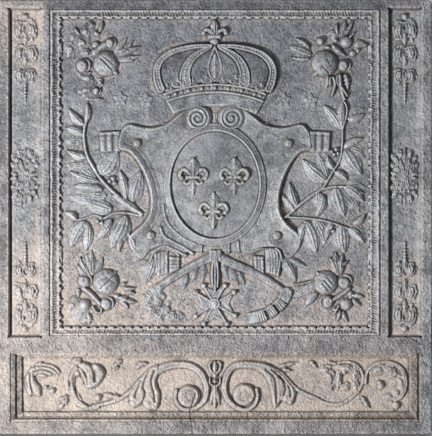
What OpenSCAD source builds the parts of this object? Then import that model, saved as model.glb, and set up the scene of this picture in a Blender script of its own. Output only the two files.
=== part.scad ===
// Large cast-iron fireback with a royal coat of arms, two side panels and a scroll frieze.
// It stands on its bottom edge, back to the hearth wall, front towards -Y. Millimetres.

/* [Plate] */
// Thickness of the flat slab behind the relief
plate_t = 16; // [12:1:30]
// Width of the sunk middle field
field_w = 606; // [604:2:680]
// Height of the sunk middle field
field_h = 608; // [606:2:700]

/* [Frame] */
// How far rails and stiles stand above the sunk fields
frame_rise = 9; // [7:0.5:14]
// Width of the two outer stiles
outer_stile_w = 24; // [16:1:40]
// Width of the two stiles beside the middle field
inner_stile_w = 19; // [12:1:32]
// Width of each sunk side panel
side_panel_w = 60; // [58:1:90]
// Height of the top rail
top_rail_h = 19; // [12:1:40]
// Height of the rail between the middle field and the frieze
middle_rail_h = 33; // [20:1:60]
// Height of the bottom rail
bottom_rail_h = 24; // [14:1:50]

/* [Mouldings] */
// Width of the leaf moulding down each side of the middle field
leaf_mould_side_w = 24; // [18:1:34]
// Width of the leaf moulding above and below the middle field
leaf_mould_rail_w = 19; // [16:1:30]
// Distance from one leaf of that moulding to the next
leaf_pitch = 17; // [12:0.5:30]
// Width of the frieze moulding at each end
frieze_mould_end_w = 22; // [14:1:34]
// Width of the frieze moulding along the top
frieze_mould_top_w = 10; // [8:1:24]
// Width of the frieze moulding along the bottom
frieze_mould_base_w = 18; // [10:1:30]
// Height of the sunk frieze panel inside its moulding
frieze_h = 110; // [108:1:150]

/* [Arms] */
// How far the shield's middle lies under the middle of the field
arms_drop = 24; // [20:1:27]
// Thickness of the cartouche that carries the shield
cartouche_t = 7; // [4:0.5:10]
// Height of the cartouche's rolled edges above its face
roll_rise = 3.5; // [2:0.5:6]
// Width of the oval shield inside its rim
shield_w = 174; // [140:2:184]
// Height of the oval shield inside its rim
shield_h = 208; // [170:2:208]
// Width of the shield's rim
shield_rim_w = 14; // [8:1:14]
// Height of the shield's rim above the cartouche
shield_rim_rise = 3.5; // [2:0.5:6]
// Height of the shield's own face above the cartouche
shield_face_rise = 1.5; // [1:0.25:1.75]
// Height of one lily, tip to tail
lily_h = 76; // [50:1:80]
// Height of the lilies above the shield's face
lily_rise = 5; // [3:0.5:7]
// Diameter of the four bosses on the cartouche
boss_d = 18; // [12:1:24]

/* [Crown] */
// Radial height of the jewelled band
jewel_band_w = 18; // [14:1:22]
// Radial height of the plain hoop under it
hoop_w = 24; // [16:1:26]
// Thickness of the cap behind the arches
cap_t = 3; // [2:0.5:5]
// Height of the arches above the cap
arch_rise = 6; // [4:0.5:8]
// Width of the crown's arches at their widest
arch_w = 17; // [12:1:20]

/* [Foliage] */
// Height of a leaf's rib above the ground
leaf_rise = 7; // [5:0.5:10]
// Thickness of a leaf at its margin
leaf_edge = 2; // [1:0.25:4]
// Diameter of a pomegranate
fruit_d = 50; // [40:1:56]
// Height of a pomegranate above the ground
fruit_rise = 16; // [12:0.5:18]
// Width of a laurel stem where it starts
stem_w = 9; // [6:0.5:12]
// Width of the frieze's vine at its widest
vine_w = 16; // [10:0.5:20]
// Height of the frieze's vine above the ground
vine_rise = 8; // [5:0.5:12]

/* [Order badge] */
// Reach of the cross from its middle to a tip
cross_reach = 42; // [30:1:43]
// Width of the ribbon that hangs under the shield
ribbon_w = 20; // [12:1:21]
// Width of the striped band that hangs from the ribbon's ends
collar_w = 18; // [12:1:19]
// Height of the ribbon above the ground
ribbon_rise = 6; // [4:0.5:9]

/* [Hidden] */

// Gap between two carved pieces that lie side by side
fit = 0.4;
$fn = 48;

iron = [0.42, 0.42, 0.43];
worn_iron = [0.52, 0.52, 0.53];
dusty_iron = [0.55, 0.50, 0.45];

// Sizes that follow from the ones above, measured in the plane of the face:
// x from the middle, y from the bottom edge
panel_h = field_h + 2 * leaf_mould_rail_w;
side_panel_x = field_w / 2 + leaf_mould_side_w + inner_stile_w;
stile_x = side_panel_x + side_panel_w;
plate_w = 2 * (stile_x + outer_stile_w);
frieze_y = bottom_rail_h;
frieze_outer_h = frieze_mould_base_w + frieze_h + frieze_mould_top_w;
middle_rail_y = frieze_y + frieze_outer_h;
panel_y = middle_rail_y + middle_rail_h;
plate_h = panel_y + panel_h + top_rail_h;
field_mid_y = panel_y + panel_h / 2;
// The arms and the sprays are drawn for a field 606 by 608 and keep their share of the
// one that is set
arms_scale = min(field_w / 606, field_h / 608);
arms_y = field_mid_y - arms_drop * arms_scale;
frieze_mid_y = frieze_y + frieze_mould_base_w + frieze_h / 2;

// Height of the shield's rim, its face and the tallest relief above the slab
shield_rim_top = cartouche_t + shield_rim_rise;
lily_seat = cartouche_t + shield_face_rise;
relief_top = max(fruit_rise, frame_rise, lily_seat + lily_rise, cap_t + arch_rise);
total_depth = plate_t + relief_top;
face_y = total_depth / 2 - plate_t;

// ---- places on the face --------------------------------------------------------------

// Lifts a drawing that lies flat onto the front of the slab, at a height above it
module on_face(x = 0, y = 0, level = 0)
    translate([0, face_y, 0]) rotate([90, 0, 0]) translate([x, y, level]) children();

module on_arms(level = 0) on_face(0, arms_y, level) scale([arms_scale, arms_scale, 1]) children();

module on_frieze() on_face(0, frieze_mid_y) children();

module flip(yes) mirror([yes ? 1 : 0, 0, 0]) children();

// ---- shapes that repeat --------------------------------------------------------------

function catmull(a, b, c, d, t) = 0.5 * (2 * b + (c - a) * t
    + (2 * a - 5 * b + 4 * c - d) * t * t + (3 * b - a - 3 * c + d) * t * t * t);

// A smooth line through hand-placed points, n steps from each to the next
function smooth(p, n) = let (e = len(p) - 1)
    concat([for (i = [0:e - 1]) for (k = [0:n - 1])
        catmull(p[max(i - 1, 0)], p[i], p[i + 1], p[min(i + 2, e)], k / n)], [p[e]]);

function oval(w, h, n = 64) = [for (i = [0:n - 1])
    [w / 2 * cos(360 * i / n), h / 2 * sin(360 * i / n)]];

// One leaf from its base to its tip: s is [base x, base y, tip x, tip y, width]
module leaf(s, rise = leaf_rise) {
    span = [s[2] - s[0], s[3] - s[1]];
    l = norm(span);
    w = s[4] / 2;
    translate([s[0], s[1], 0]) rotate(atan2(span.y, span.x)) hull() {
        linear_extrude(leaf_edge) polygon([[0, 0], [0.25 * l, -0.8 * w], [0.55 * l, -w],
            [l, 0], [0.55 * l, w], [0.25 * l, 0.8 * w]]);
        linear_extrude(rise) polygon([[0.15 * l, 0], [0.4 * l, -0.12 * w], [0.72 * l, 0],
            [0.4 * l, 0.12 * w]]);
    }
}

module leaves(list, rise = leaf_rise) for (s = list) leaf(s, rise);

// A rounded cap, d across at the ground and rise high
module dome(d, rise, n = 16) {
    r = (d * d / 4 + rise * rise) / (2 * rise);
    rotate_extrude($fn = n) polygon(concat([[0, 0]],
        [for (h = [0:rise / 5:rise * 0.95]) [sqrt(r * r - pow(h + r - rise, 2)), h]],
        [[0, rise]]));
}

// A low round berry that sits on the ground
module berry(b) translate([b[0], b[1], 0]) hull() {
    cylinder(b[2] * 0.35, b[2], b[2], $fn = 8);
    cylinder(b[2] * 0.75, b[2] * 0.45, b[2] * 0.45, $fn = 6);
}

// A stem, vine or ribbon with sloping flanks: width runs from w0 to w1 along the path
module strand(path, w0, w1, rise) {
    n = len(path);
    function aim(i) = let (d = path[min(i + 1, n - 1)] - path[max(i - 1, 0)]) d / norm(d);
    ring = [for (i = [0:n - 1]) let (d = aim(i), s = [-d.y, d.x],
        w = (w0 + (w1 - w0) * i / (n - 1)) / 2, h = rise * min(1, 0.45 + w / max(w0, w1)))
        for (q = [[-1, 0], [-0.95, 0.5], [-0.4, 1], [0.4, 1], [0.95, 0.5], [1, 0]])
            [path[i].x + s.x * w * q[0], path[i].y + s.y * w * q[0], h * q[1]]];
    sides = [for (i = [0:n - 2]) for (k = [0:5]) let (a = 6 * i + k, b = 6 * i + (k + 1) % 6)
        each [[a, b, b + 6], [a, b + 6, a + 6]]];
    ends = concat([for (k = [1:4]) [0, k + 1, k]],
        [for (k = [1:4]) [6 * n - 6, 6 * n - 6 + k, 6 * n - 5 + k]]);
    polyhedron(ring, concat(sides, ends), convexity = 6);
}

// One mitred run of a moulding round a panel w by h. It lies between shares a and b of the
// widths: side is 0 top, 1 right, 2 base, 3 left; m is [end width, top width, base width]
function run_outline(w, h, m, side, a, b) = let (
    corner = function (f, right, top) [(right ? 1 : -1) * (w / 2 + f * m[0]),
        top ? h / 2 + f * m[1] : -h / 2 - f * m[2]])
    side == 0 ? [corner(a, false, true), corner(a, true, true),
        corner(b, true, true), corner(b, false, true)]
    : side == 1 ? [corner(a, true, true), corner(a, true, false),
        corner(b, true, false), corner(b, true, true)]
    : side == 2 ? [corner(a, true, false), corner(a, false, false),
        corner(b, false, false), corner(b, true, false)]
    : [corner(a, false, false), corner(a, false, true),
        corner(b, false, true), corner(b, false, false)];

// ---- slab and frame ------------------------------------------------------------------

module back_plate() color(iron)
    on_face(-plate_w / 2, 0, -plate_t) cube([plate_w, plate_h, plate_t]);

// One rail or stile: its left edge, its bottom edge and its size on the face
module frame_bar(x, y, w, h) color(worn_iron) on_face(x, y) cube([w, h, frame_rise]);

module outer_stile(right)
    frame_bar(right ? stile_x : -stile_x - outer_stile_w, 0, outer_stile_w, plate_h);

module inner_stile(right)
    frame_bar(right ? field_w / 2 + leaf_mould_side_w : -side_panel_x, panel_y,
        inner_stile_w, panel_h);

module rail(y, h) frame_bar(-stile_x, y, 2 * stile_x, h);

// ---- mouldings -----------------------------------------------------------------------

// Cross-section of the leaf moulding: from, to (shares of its width) and height
leaf_steps = [[0.25, 0.36, 3.5], [0.36, 0.66, 6], [0.66, 0.76, 4.5], [0.76, 1, 8]];
leaf_widths = [leaf_mould_side_w, leaf_mould_rail_w, leaf_mould_rail_w];

module leaf_moulding(side) {
    upright = side == 1 || side == 3;
    length = upright ? field_h : field_w;
    band = upright ? leaf_mould_side_w : leaf_mould_rail_w;
    edge = upright ? field_w / 2 : field_h / 2;
    count = floor(length / leaf_pitch);
    pitch = length / count;
    color(worn_iron) on_face(0, field_mid_y) {
        for (s = leaf_steps)
            linear_extrude(s[2] / 9 * frame_rise)
                polygon(run_outline(field_w, field_h, leaf_widths, side, s[0], s[1]));
        // the row of leaf tips along the inner edge
        rotate(side == 0 ? 0 : side == 1 ? -90 : side == 2 ? 180 : 90) linear_extrude(2.5)
            polygon(concat([[length / 2, edge + 0.25 * band], [-length / 2, edge + 0.25 * band]],
                [for (i = [0:count - 1]) each [
                    [-length / 2 + (i + 0.06) * pitch, edge + 0.2 * band],
                    [-length / 2 + (i + 0.28) * pitch, edge + 0.04 * band],
                    [-length / 2 + (i + 0.5) * pitch, edge],
                    [-length / 2 + (i + 0.72) * pitch, edge + 0.04 * band],
                    [-length / 2 + (i + 0.94) * pitch, edge + 0.2 * band]]]));
    }
}

frieze_w = 2 * (stile_x - frieze_mould_end_w);
frieze_steps = [[0, 0.2, 2], [0.2, 0.45, 4.5], [0.45, 0.62, 6], [0.62, 0.78, 5], [0.78, 1, 8]];
frieze_widths = [frieze_mould_end_w, frieze_mould_top_w, frieze_mould_base_w];

module frieze_moulding(side) color(dusty_iron) on_frieze()
    for (s = frieze_steps)
        linear_extrude(s[2] / 9 * frame_rise)
            polygon(run_outline(frieze_w, frieze_h, frieze_widths, side, s[0], s[1]));

// ---- cartouche and shield ------------------------------------------------------------

// Right half of the cartouche's outline, from the notch at the top to the foot
cartouche_half = [[0, 144], [12, 146], [22, 150], [36, 151.5], [51, 148], [65, 142], [80, 131],
    [96, 120], [112, 115], [132, 113], [152, 116], [168, 118], [179, 113], [187, 102], [191, 86],
    [190, 70], [172, 66], [156, 50], [142, 26], [132, 0], [128, -26], [130, -54], [140, -74],
    [152, -86], [164, -96], [171, -107], [168, -124], [158, -138], [146, -147], [138, -142],
    [130, -131], [116, -123], [98, -124], [84, -130], [70, -136], [56, -132], [40, -132],
    [0, -132]];
cartouche_outline = concat(cartouche_half,
    [for (i = [len(cartouche_half) - 2:-1:1]) [-cartouche_half[i].x, cartouche_half[i].y]]);

// Middle lines of the rolled edges down each side and along each shoulder
rolled_side = [[164, 66], [150, 54], [136.5, 29], [126.5, 2], [122.5, -26], [124.5, -55],
    [135, -77], [146, -89]];
rolled_shoulder = [[64, 136], [79, 125], [95, 114], [112, 109], [132, 107], [152, 110],
    [167, 112]];

module cartouche() color(worn_iron) on_arms() {
    linear_extrude(cartouche_t) polygon(cartouche_outline);
    for (s = [-1, 1]) mirror([s < 0 ? 1 : 0, 0, 0]) translate([0, 0, cartouche_t - 0.5]) {
        strand(smooth(rolled_side, 2), 8, 9, roll_rise);
        strand(smooth(rolled_shoulder, 2), 6, 9, roll_rise);
    }
}

// Oval dish with a raised rim, seated on the cartouche
module shield() color(worn_iron) on_arms(cartouche_t) difference() {
    linear_extrude(shield_rim_rise)
        polygon(oval(shield_w + 2 * shield_rim_w, shield_h + 2 * shield_rim_w));
    translate([0, 0, shield_face_rise]) linear_extrude(shield_rim_rise)
        polygon(oval(shield_w, shield_h));
}

// One lily about its waist: a lance leaf, two hooked petals, a band and three tails
module lily(x, y) color(iron) on_arms(lily_seat) translate([x, y, 0]) scale([lily_h / 76,
    lily_h / 76, 1]) {
    leaf([0, 2, 0, 38, 19], lily_rise);
    leaf([0, 2, 0, -38, 12], lily_rise * 0.9);
    for (s = [-1, 1]) {
        strand(smooth([[2 * s, -2], [7 * s, 9], [16 * s, 13], [25 * s, 9], [27 * s, 2]], 3),
            9, 6, lily_rise * 0.8);
        strand(smooth([[2 * s, -2], [6 * s, -12], [13 * s, -17], [19 * s, -13]], 3),
            7, 4, lily_rise * 0.7);
    }
    translate([-13, -1.5, 0]) cube([26, 5, lily_rise * 0.8]);
    for (s = [-1, 1]) berry([26 * s, 3, 4.5]);
}

// The lilies' waists keep their places in the shield when it changes size
lily_dx = 42 / 174 * shield_w;
lily_upper_y = 18 / 208 * shield_h;
lily_base_y = -48 / 208 * shield_h;

// The two scrolls at the cartouche's head, wound inwards on its face
volute_turns = 1.6;
volute_x = 32;
volute_y = 131;
module cartouche_volutes() color(worn_iron) on_arms(cartouche_t) for (s = [-1, 1])
    translate([s * volute_x, volute_y, 0]) mirror([s < 0 ? 1 : 0, 0, 0]) {
        strand([for (i = [0:26]) let (f = i / 26, a = 100 - 360 * volute_turns * (1 - f),
            r = 4 + 14 * f) [r * 1.25 * cos(a), r * 0.92 * sin(a)]], 3.5, 6, 5);
        cylinder(4, 4, 3);
    }

module cartouche_bosses() color(iron) on_arms(cartouche_t)
    for (p = [[-151, 80], [151, 80], [-127, -102], [127, -102]])
        translate([p.x, p.y, 0]) {
            cylinder(boss_d * 0.12, boss_d * 0.5, boss_d * 0.5);
            translate([0, 0, boss_d * 0.12]) cylinder(boss_d * 0.22, boss_d * 0.4, boss_d * 0.22);
        }

// Fluted block at each shoulder of the cartouche, just clear of its widest place
cartouche_reach = max([for (p = cartouche_half) p.x]);
console_x = cartouche_reach + fit;
console_y = 70;
console_w = 34;
console_h = 36;
module console(right) color(worn_iron) on_arms() flip(!right)
    translate([console_x, console_y, 0]) {
        cube([console_w, console_h, 4]);
        for (i = [0:2]) translate([3 + i * 11, 0, 4]) cube([6, console_h - 5, 3]);
        translate([0, console_h - 5, 4]) cube([console_w, 5, 3]);
    }

// ---- crown ---------------------------------------------------------------------------

// The band is a slice of a ring whose middle lies under the shield's middle
band_top_r = 270;
band_top_y = 200;
band_half_w = 101;
band_mid_y = band_top_y - band_top_r;
band_half_angle = asin(band_half_w / band_top_r);

// A place on the band's top edge, at x and so far above the edge
function on_band(x, above = 0) = let (a = asin(x / band_top_r))
    [(band_top_r + above) * sin(a), band_mid_y + (band_top_r + above) * cos(a)];

function ring_slice(r0, r1, half, n = 16) = concat(
    [for (i = [0:n]) let (a = 90 - half + 2 * half * i / n)
        [r1 * cos(a), band_mid_y + r1 * sin(a)]],
    [for (i = [n:-1:0]) let (a = 90 - half + 2 * half * i / n)
        [r0 * cos(a), band_mid_y + r0 * sin(a)]]);

// Outer edge of the cap, up the left side and over to the right
cap_half_w = 96;
cap_edge = [on_band(-cap_half_w, fit), [-113, 192], [-124, 212], [-124, 236], [-112, 258],
    [-88, 273], [-56, 279], [-22, 279], [0, 281], [22, 279], [56, 279], [88, 273], [112, 258],
    [124, 236], [124, 212], [113, 192], on_band(cap_half_w, fit)];

module crown_cap() color(iron) on_arms() linear_extrude(cap_t)
    polygon(concat(smooth(cap_edge, 3),
        [for (i = [1:15]) on_band(cap_half_w * (1 - i / 8), fit)]));

module crown_band() color(worn_iron) on_arms() {
    jewel_r = band_top_r - jewel_band_w;
    linear_extrude(6) polygon(ring_slice(jewel_r, band_top_r, band_half_angle));
    linear_extrude(9) polygon(ring_slice(jewel_r - 4, jewel_r, band_half_angle));
    linear_extrude(7) polygon(ring_slice(jewel_r - hoop_w, jewel_r - 4, band_half_angle));
    for (i = [-5:5]) translate([0, band_mid_y, 6]) rotate(-i * 3.8)
        translate([0, jewel_r + jewel_band_w / 2, 0]) cylinder(3, i % 2 == 0 ? 5.5 : 3.5, 2.5);
}

// Centre lines of the right-hand arches, from the band up to the middle of the crown
arch_outer = [on_band(99, 10.6), [114, 208], [116, 228], [106, 250], [78, 266], [40, 269],
    [12, 268]];
arch_inner = [on_band(57.7, 6.4), [66, 216], [64, 238], [46, 256], [14, 265]];

module crown_arches() color(worn_iron) on_arms(cap_t) {
    for (s = [-1, 1]) mirror([s < 0 ? 1 : 0, 0, 0]) {
        strand(smooth(arch_outer, 3), arch_w * 0.8, arch_w * 0.45, arch_rise);
        strand(smooth(arch_inner, 3), arch_w, arch_w * 0.4, arch_rise);
    }
    hull() {
        translate([0, 212, 0]) cylinder(arch_rise * 0.8, arch_w * 0.6, arch_w * 0.4, $fn = 16);
        translate([0, 230, 0]) cylinder(arch_rise, arch_w * 0.7, arch_w * 0.35, $fn = 16);
        translate([0, 266, 0]) cylinder(arch_rise * 0.9, 4, 3, $fn = 12);
    }
}

// Trefoils that stand on the band between the arches
fleuron_places = [-82, -32, 32, 82];
module crown_fleurons() color(worn_iron) on_arms(cap_t)
    for (x = fleuron_places) translate(on_band(x, fit + 3)) rotate(-asin(x / band_top_r)) {
        cylinder(4, 3.5, 2.5);
        translate([0, 5, 0]) cylinder(3, 3, 2);
        for (s = [-1, 1]) translate([s * 4.5, 1, 0]) cylinder(3, 3, 2);
    }

module crown_finial() color(worn_iron) on_arms() translate([0, 282 + fit, 0]) {
    translate([0, 8, 0]) dome(16, 7);
    leaf([0, 14, 0, 38, 13], 6);
    for (s = [-1, 1]) leaf([0, 15, s * 20, 24, 10], 5);
    for (s = [-1, 1]) berry([s * 18, 22, 4]);
    translate([-9, 12, 0]) cube([18, 4, 4]);
}

// ---- laurel --------------------------------------------------------------------------

laurel_right_stems = [
    [[142, -62], [171, -38], [196, -20], [216, -6], [228, 18], [240, 46], [248, 74], [252, 106],
        [255, 134], [252, 160]],
    [[146, -66], [172, -68], [202, -68], [232, -72], [262, -78], [286, -86]],
    [[218, -8], [242, -8], [270, -10], [290, -20]]];
laurel_right_leaves = [[223, 12, 175, 50, 22], [162, -40, 137, -14, 17], [170, -34, 152, 8, 16],
    [206, -10, 182, 12, 16], [253, 110, 214, 154, 19], [254, 112, 262, 162, 18],
    [262, 132, 296, 140, 16], [256, 72, 294, 90, 18], [256, 58, 284, 24, 18],
    [246, 68, 214, 58, 13], [240, -12, 254, -54, 18], [244, -8, 291, -2, 15],
    [222, -18, 212, -58, 15], [196, -28, 198, -62, 13], [176, -72, 196, -130, 21],
    [198, -74, 230, -126, 18], [246, -78, 255, -128, 20], [260, -80, 290, -110, 16],
    [272, -76, 297, -54, 13], [231, 24, 262, 16, 13], [232, 18, 220, 56, 14],
    [276, -8, 296, 10, 12]];
laurel_right_berries = [[246, 80, 5], [238, 84, 4], [200, -4, 5], [235, -84, 5], [226, -86, 4]];

laurel_left_stems = [
    [[-137, -62], [-149, -50], [-169, -30], [-193, -10], [-219, 14], [-235, 34], [-245, 54],
        [-253, 74], [-253, 100], [-250, 130], [-246, 156]],
    [[-146, -62], [-169, -58], [-193, -54], [-219, -58], [-245, -68], [-270, -72]]];
laurel_left_leaves = [[-229, 20, -264, 68, 19], [-226, 24, -191, 58, 24],
    [-167, -28, -182, 24, 16], [-163, -28, -145, 24, 20], [-251, 110, -286, 144, 17],
    [-253, 114, -256, 160, 16], [-253, 90, -292, 110, 16], [-253, 78, -296, 66, 16],
    [-240, 14, -290, 30, 16], [-226, 4, -280, -4, 16], [-210, -22, -260, -26, 16],
    [-206, -44, -256, -44, 17], [-249, 100, -222, 128, 15], [-251, -72, -286, -112, 19],
    [-246, -74, -252, -130, 16], [-203, -60, -228, -104, 18], [-171, -66, -206, -124, 23],
    [-168, -70, -162, -130, 15], [-262, -68, -297, -54, 15], [-240, 60, -214, 84, 14],
    [-250, 46, -288, 52, 13]];
laurel_left_berries = [[-198, 10, 5], [-206, 6, 4], [-222, -68, 5], [-246, 106, 4], [-240, 100, 4]];

module laurel(stems, list, berries) color(iron) on_arms() difference() {
    union() {
        for (s = stems) strand(smooth(s, 2), stem_w, stem_w * 0.45, leaf_rise * 0.7);
        leaves(list);
        for (b = berries) berry(b);
    }
    translate([0, 0, -1]) linear_extrude(fruit_rise + 2) offset(delta = fit) {
        polygon(cartouche_outline);
        for (s = [-1, 1]) translate([s * (console_x + console_w / 2), console_y + console_h / 2])
            square([console_w, console_h], center = true);
    }
}

// ---- pomegranates --------------------------------------------------------------------

// Distance of each fruit's middle from the corner of the field
fruit_inset = [84, 88];
top_sprays = [[-24, 24, -68, 34, 16], [-26, 16, -68, 14, 14], [-20, 28, -54, 50, 15],
    [-26, 8, -54, -2, 13], [26, 42, 8, 74, 15], [32, 46, 24, 84, 14], [38, 50, 48, 82, 13],
    [48, 36, 78, 44, 15], [50, 26, 76, 16, 13], [10, 36, 38, 6, 12], [6, -22, -6, -56, 13],
    [14, -22, 8, -66, 13], [22, -20, 38, -68, 15], [28, -16, 50, -52, 13]];
top_berries = [[-10, 40, 11], [40, 42, 13], [56, 22, 8], [38, -4, 11]];
base_sprays = [[24, 18, 48, 46, 13], [22, 22, 34, 54, 14], [18, 24, 20, 58, 14],
    [10, 24, 6, 52, 12], [26, 14, 54, 32, 12], [36, -18, 10, -44, 12], [46, -14, 76, -22, 15],
    [52, -36, 78, -34, 13], [38, -58, 42, -82, 13], [28, -58, 20, -80, 12],
    [-20, -12, -60, -10, 13], [-22, -16, -62, -24, 13], [-20, -20, -60, -42, 13],
    [-16, -24, -42, -54, 12], [-20, -2, -44, 4, 11]];
base_berries = [[42, 8, 13], [2, -44, 13], [45, -46, 12], [19, -60, 8]];

// side and up say which corner of the field: 1 is right or top, -1 left or base
module pomegranate(side, up, sprays, berries) color(iron)
    on_face(side * (field_w / 2 - fruit_inset.x * arms_scale),
            field_mid_y + up * (field_h / 2 - fruit_inset.y * arms_scale))
        scale([arms_scale, arms_scale, 1]) flip(side < 0) {
            dome(fruit_d, fruit_rise);
            difference() {
                union() {
                    rotate(up > 0 ? -135 : 135)
                        leaf([fruit_d * 0.3, 0, fruit_d * 0.62, 0, 10], fruit_rise * 0.6);
                    leaves(sprays);
                    for (b = berries) berry(b);
                }
                translate([0, 0, -1]) cylinder(fruit_rise + 2, fruit_d / 2 + fit,
                    fruit_d / 2 + fit, $fn = 24);
            }
        }

// ---- ribbon, collar, cross, tassel and mantling --------------------------------------

ribbon_right = [[10, -146], [40, -160], [80, -176], [112, -194], [134, -210]];
ribbon_left = [[-10, -146], [-46, -163], [-80, -182], [-106, -200]];
// Room kept clear for the ribbon where the mantling passes over it
ribbon_gap_line = [[14, -146], [50, -162], [90, -178], [120, -194], [150, -216]];
ribbon_gap = concat([[0, -120]], [for (p = ribbon_gap_line) [p.x, p.y + ribbon_w / 2]],
    [[150, -240], [0, -240]]);
module ribbon() color(worn_iron) on_arms() {
    strand(smooth(ribbon_right, 3), ribbon_w, ribbon_w, ribbon_rise);
    strand(smooth(ribbon_left, 3), ribbon_w, ribbon_w, ribbon_rise);
    translate([0, -143, 0]) hull() {
        translate([-14, -8, 0]) cube([28, 16, 2]);
        translate([-9, -5, 0]) cube([18, 11, ribbon_rise]);
    }
}

// The order's collar: a striped band that hangs from the ribbon's ends
collar_right = [[145, -219], [138, -231], [122, -241], [104, -251], [86, -260], [70, -263]];
collar_left = [[-115, -208], [-130, -220], [-130, -236], [-112, -250], [-90, -260], [-70, -263]];
module collar() color(worn_iron) on_arms() for (path = [collar_right, collar_left]) {
    line = smooth(path, 3);
    strand(line, collar_w, collar_w, 3.5);
    for (i = [1:len(line) - 2]) let (d = line[i + 1] - line[i - 1])
        translate([line[i].x, line[i].y, 0]) rotate(atan2(d.y, d.x))
            translate([-1.3, -collar_w / 2 + 1, 0]) cube([2.6, collar_w - 2, 5]);
}

// Eight-pointed cross with a ball at each point and a round boss
cross_y = -235;
module order_cross() color(worn_iron) on_arms() translate([0, cross_y, 0]) {
    for (q = [0:3]) rotate(90 * q) {
        leaf([0, 0, cross_reach * 0.86, cross_reach * 0.5, 11], 6);
        leaf([0, 0, cross_reach * 0.86, -cross_reach * 0.5, 11], 6);
        for (s = [-1, 1]) berry([cross_reach * 0.86, s * cross_reach * 0.5, 3.6]);
    }
    cylinder(8, 10, 7, $fn = 16);
}

tassel_top_y = -151 - fit;
tassel_base_y = -208;
module tassel() color(worn_iron) on_arms() {
    for (x = [-4, 0, 4])
        leaf([x * 0.5, tassel_top_y - 3, x, tassel_base_y + abs(x) * 2, 7], 7);
    translate([-5, tassel_top_y - 7, 0]) cube([10, 7, 6]);
}

mantling_strands = [
    [[84, -140], [98, -136], [114, -138], [124, -150], [128, -168], [124, -184]],
    [[96, -151], [105, -150], [112, -160], [114, -176]]];
mantling_leaves = [[146, -150, 176, -163, 16], [138, -156, 160, -192, 15]];
mantling_block = [76, -162];
mantling_block_w = 22;
module mantling(right) color(worn_iron) on_arms() flip(!right) difference() {
    union() {
        for (s = mantling_strands) strand(smooth(s, 2), 11, 8, 6);
        leaves(mantling_leaves);
        translate(mantling_block) cube([mantling_block_w, mantling_block_w, 5]);
    }
    translate([0, 0, -1]) linear_extrude(fruit_rise) offset(delta = fit) {
        polygon(cartouche_outline);
        polygon(ribbon_gap);
    }
}

// Plain florets in the upper field, two on each side of the crown
floret_places = [[-187, 170], [-137, 168], [137, 168], [190, 166]];
module field_florets() color(iron) on_arms() for (p = floret_places) translate([p.x, p.y, 0]) {
    for (q = [0:4]) rotate(72 * q + 18) leaf([2, 0, 14, 0, 9], 4);
    cylinder(5, 3.5, 2.5, $fn = 8);
}

// ---- side panels ---------------------------------------------------------------------

// The ornament is drawn for a panel 60 by 646 and keeps its share of the one that is set
side_scale = min(side_panel_w / 60, panel_h / 646);
side_mid_x = side_panel_x + side_panel_w / 2;
// Three husks on a string, then a tail of beads. top is the panel's own end
husk_places = [-18, -66, -114];
module husks(right, up) color(iron)
    on_face((right ? 1 : -1) * side_mid_x, field_mid_y + (up ? 1 : -1) * panel_h / 2)
        mirror([0, up ? 0 : 1, 0]) scale([side_scale, side_scale, 1]) {
            translate([0, -10, 0]) dome(14, 5);
            for (y = husk_places) {
                for (s = [-1, 1]) leaf([s * 3, y, s * 20, y - 31, 15], 6);
                leaf([0, y + 4, 0, y - 40, 12], 8);
            }
            for (i = [0:4]) translate([0, -157 - i * 7, 0])
                cylinder(3.4 - i * 0.3, 3.6 - i * 0.4, 2 - i * 0.2, $fn = 8);
            translate([-1, -186, 0]) cube([2, 34, 1.6]);
        }

// Leaf star half way up each side panel
rosette_drop = 9;
module rosette(right) color(iron)
    on_face((right ? 1 : -1) * side_mid_x, field_mid_y - rosette_drop)
        scale([side_scale, side_scale, 1]) {
        for (s = [-1, 1]) {
            leaf([0, s * 4, 0, s * 56, 16], 7);
            leaf([s * 4, 0, s * 27, 0, 13], 6);
            for (t = [-1, 1]) {
                leaf([s * 3, t * 5, s * 22, t * 44, 14], 6);
                leaf([s * 3, t * 2, s * 25, t * 20, 11], 5);
            }
        }
        cylinder(9, 9, 6, $fn = 16);
    }

// ---- frieze --------------------------------------------------------------------------

// Right half of the scroll: the long vine, its second spiral and the last spiral
vine_main = [[66, -36], [46, -43], [28, -33], [21, -9], [25, 17], [42, 36], [70, 43], [99, 38],
    [124, 22], [144, 4], [164, -13], [186, -25], [214, -33]];
vine_second = [[210, -33], [246, -36], [270, -29], [286, -9], [291, 14], [284, 33], [266, 43],
    [248, 42], [236, 34]];
vine_last = [[286, -30], [291, -8], [300, 20], [316, 37], [338, 43], [359, 36], [373, 17],
    [375, -7], [366, -27], [350, -36]];
vine_leaves = [[92, 34, 118, -44, 22], [122, 20, 156, -42, 24], [104, 28, 134, -36, 16],
    [126, 26, 164, 44, 15], [182, 26, 206, 46, 14], [240, 36, 216, -8, 22],
    [252, 38, 238, -2, 18], [222, -30, 250, 4, 20], [250, -28, 272, 8, 16],
    [196, -24, 180, -44, 13], [292, -24, 308, -44, 14], [338, -34, 372, -42, 15],
    [338, 38, 352, 8, 16], [316, 32, 334, 8, 15], [312, -8, 330, -30, 16]];
disc_x = 56;
disc_y = -20;
disc_d = 44;

// The scroll is drawn for a panel 768 by 110 and keeps its share of the one that is set
frieze_scale = min(frieze_w / 768, frieze_h / 110);

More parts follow.
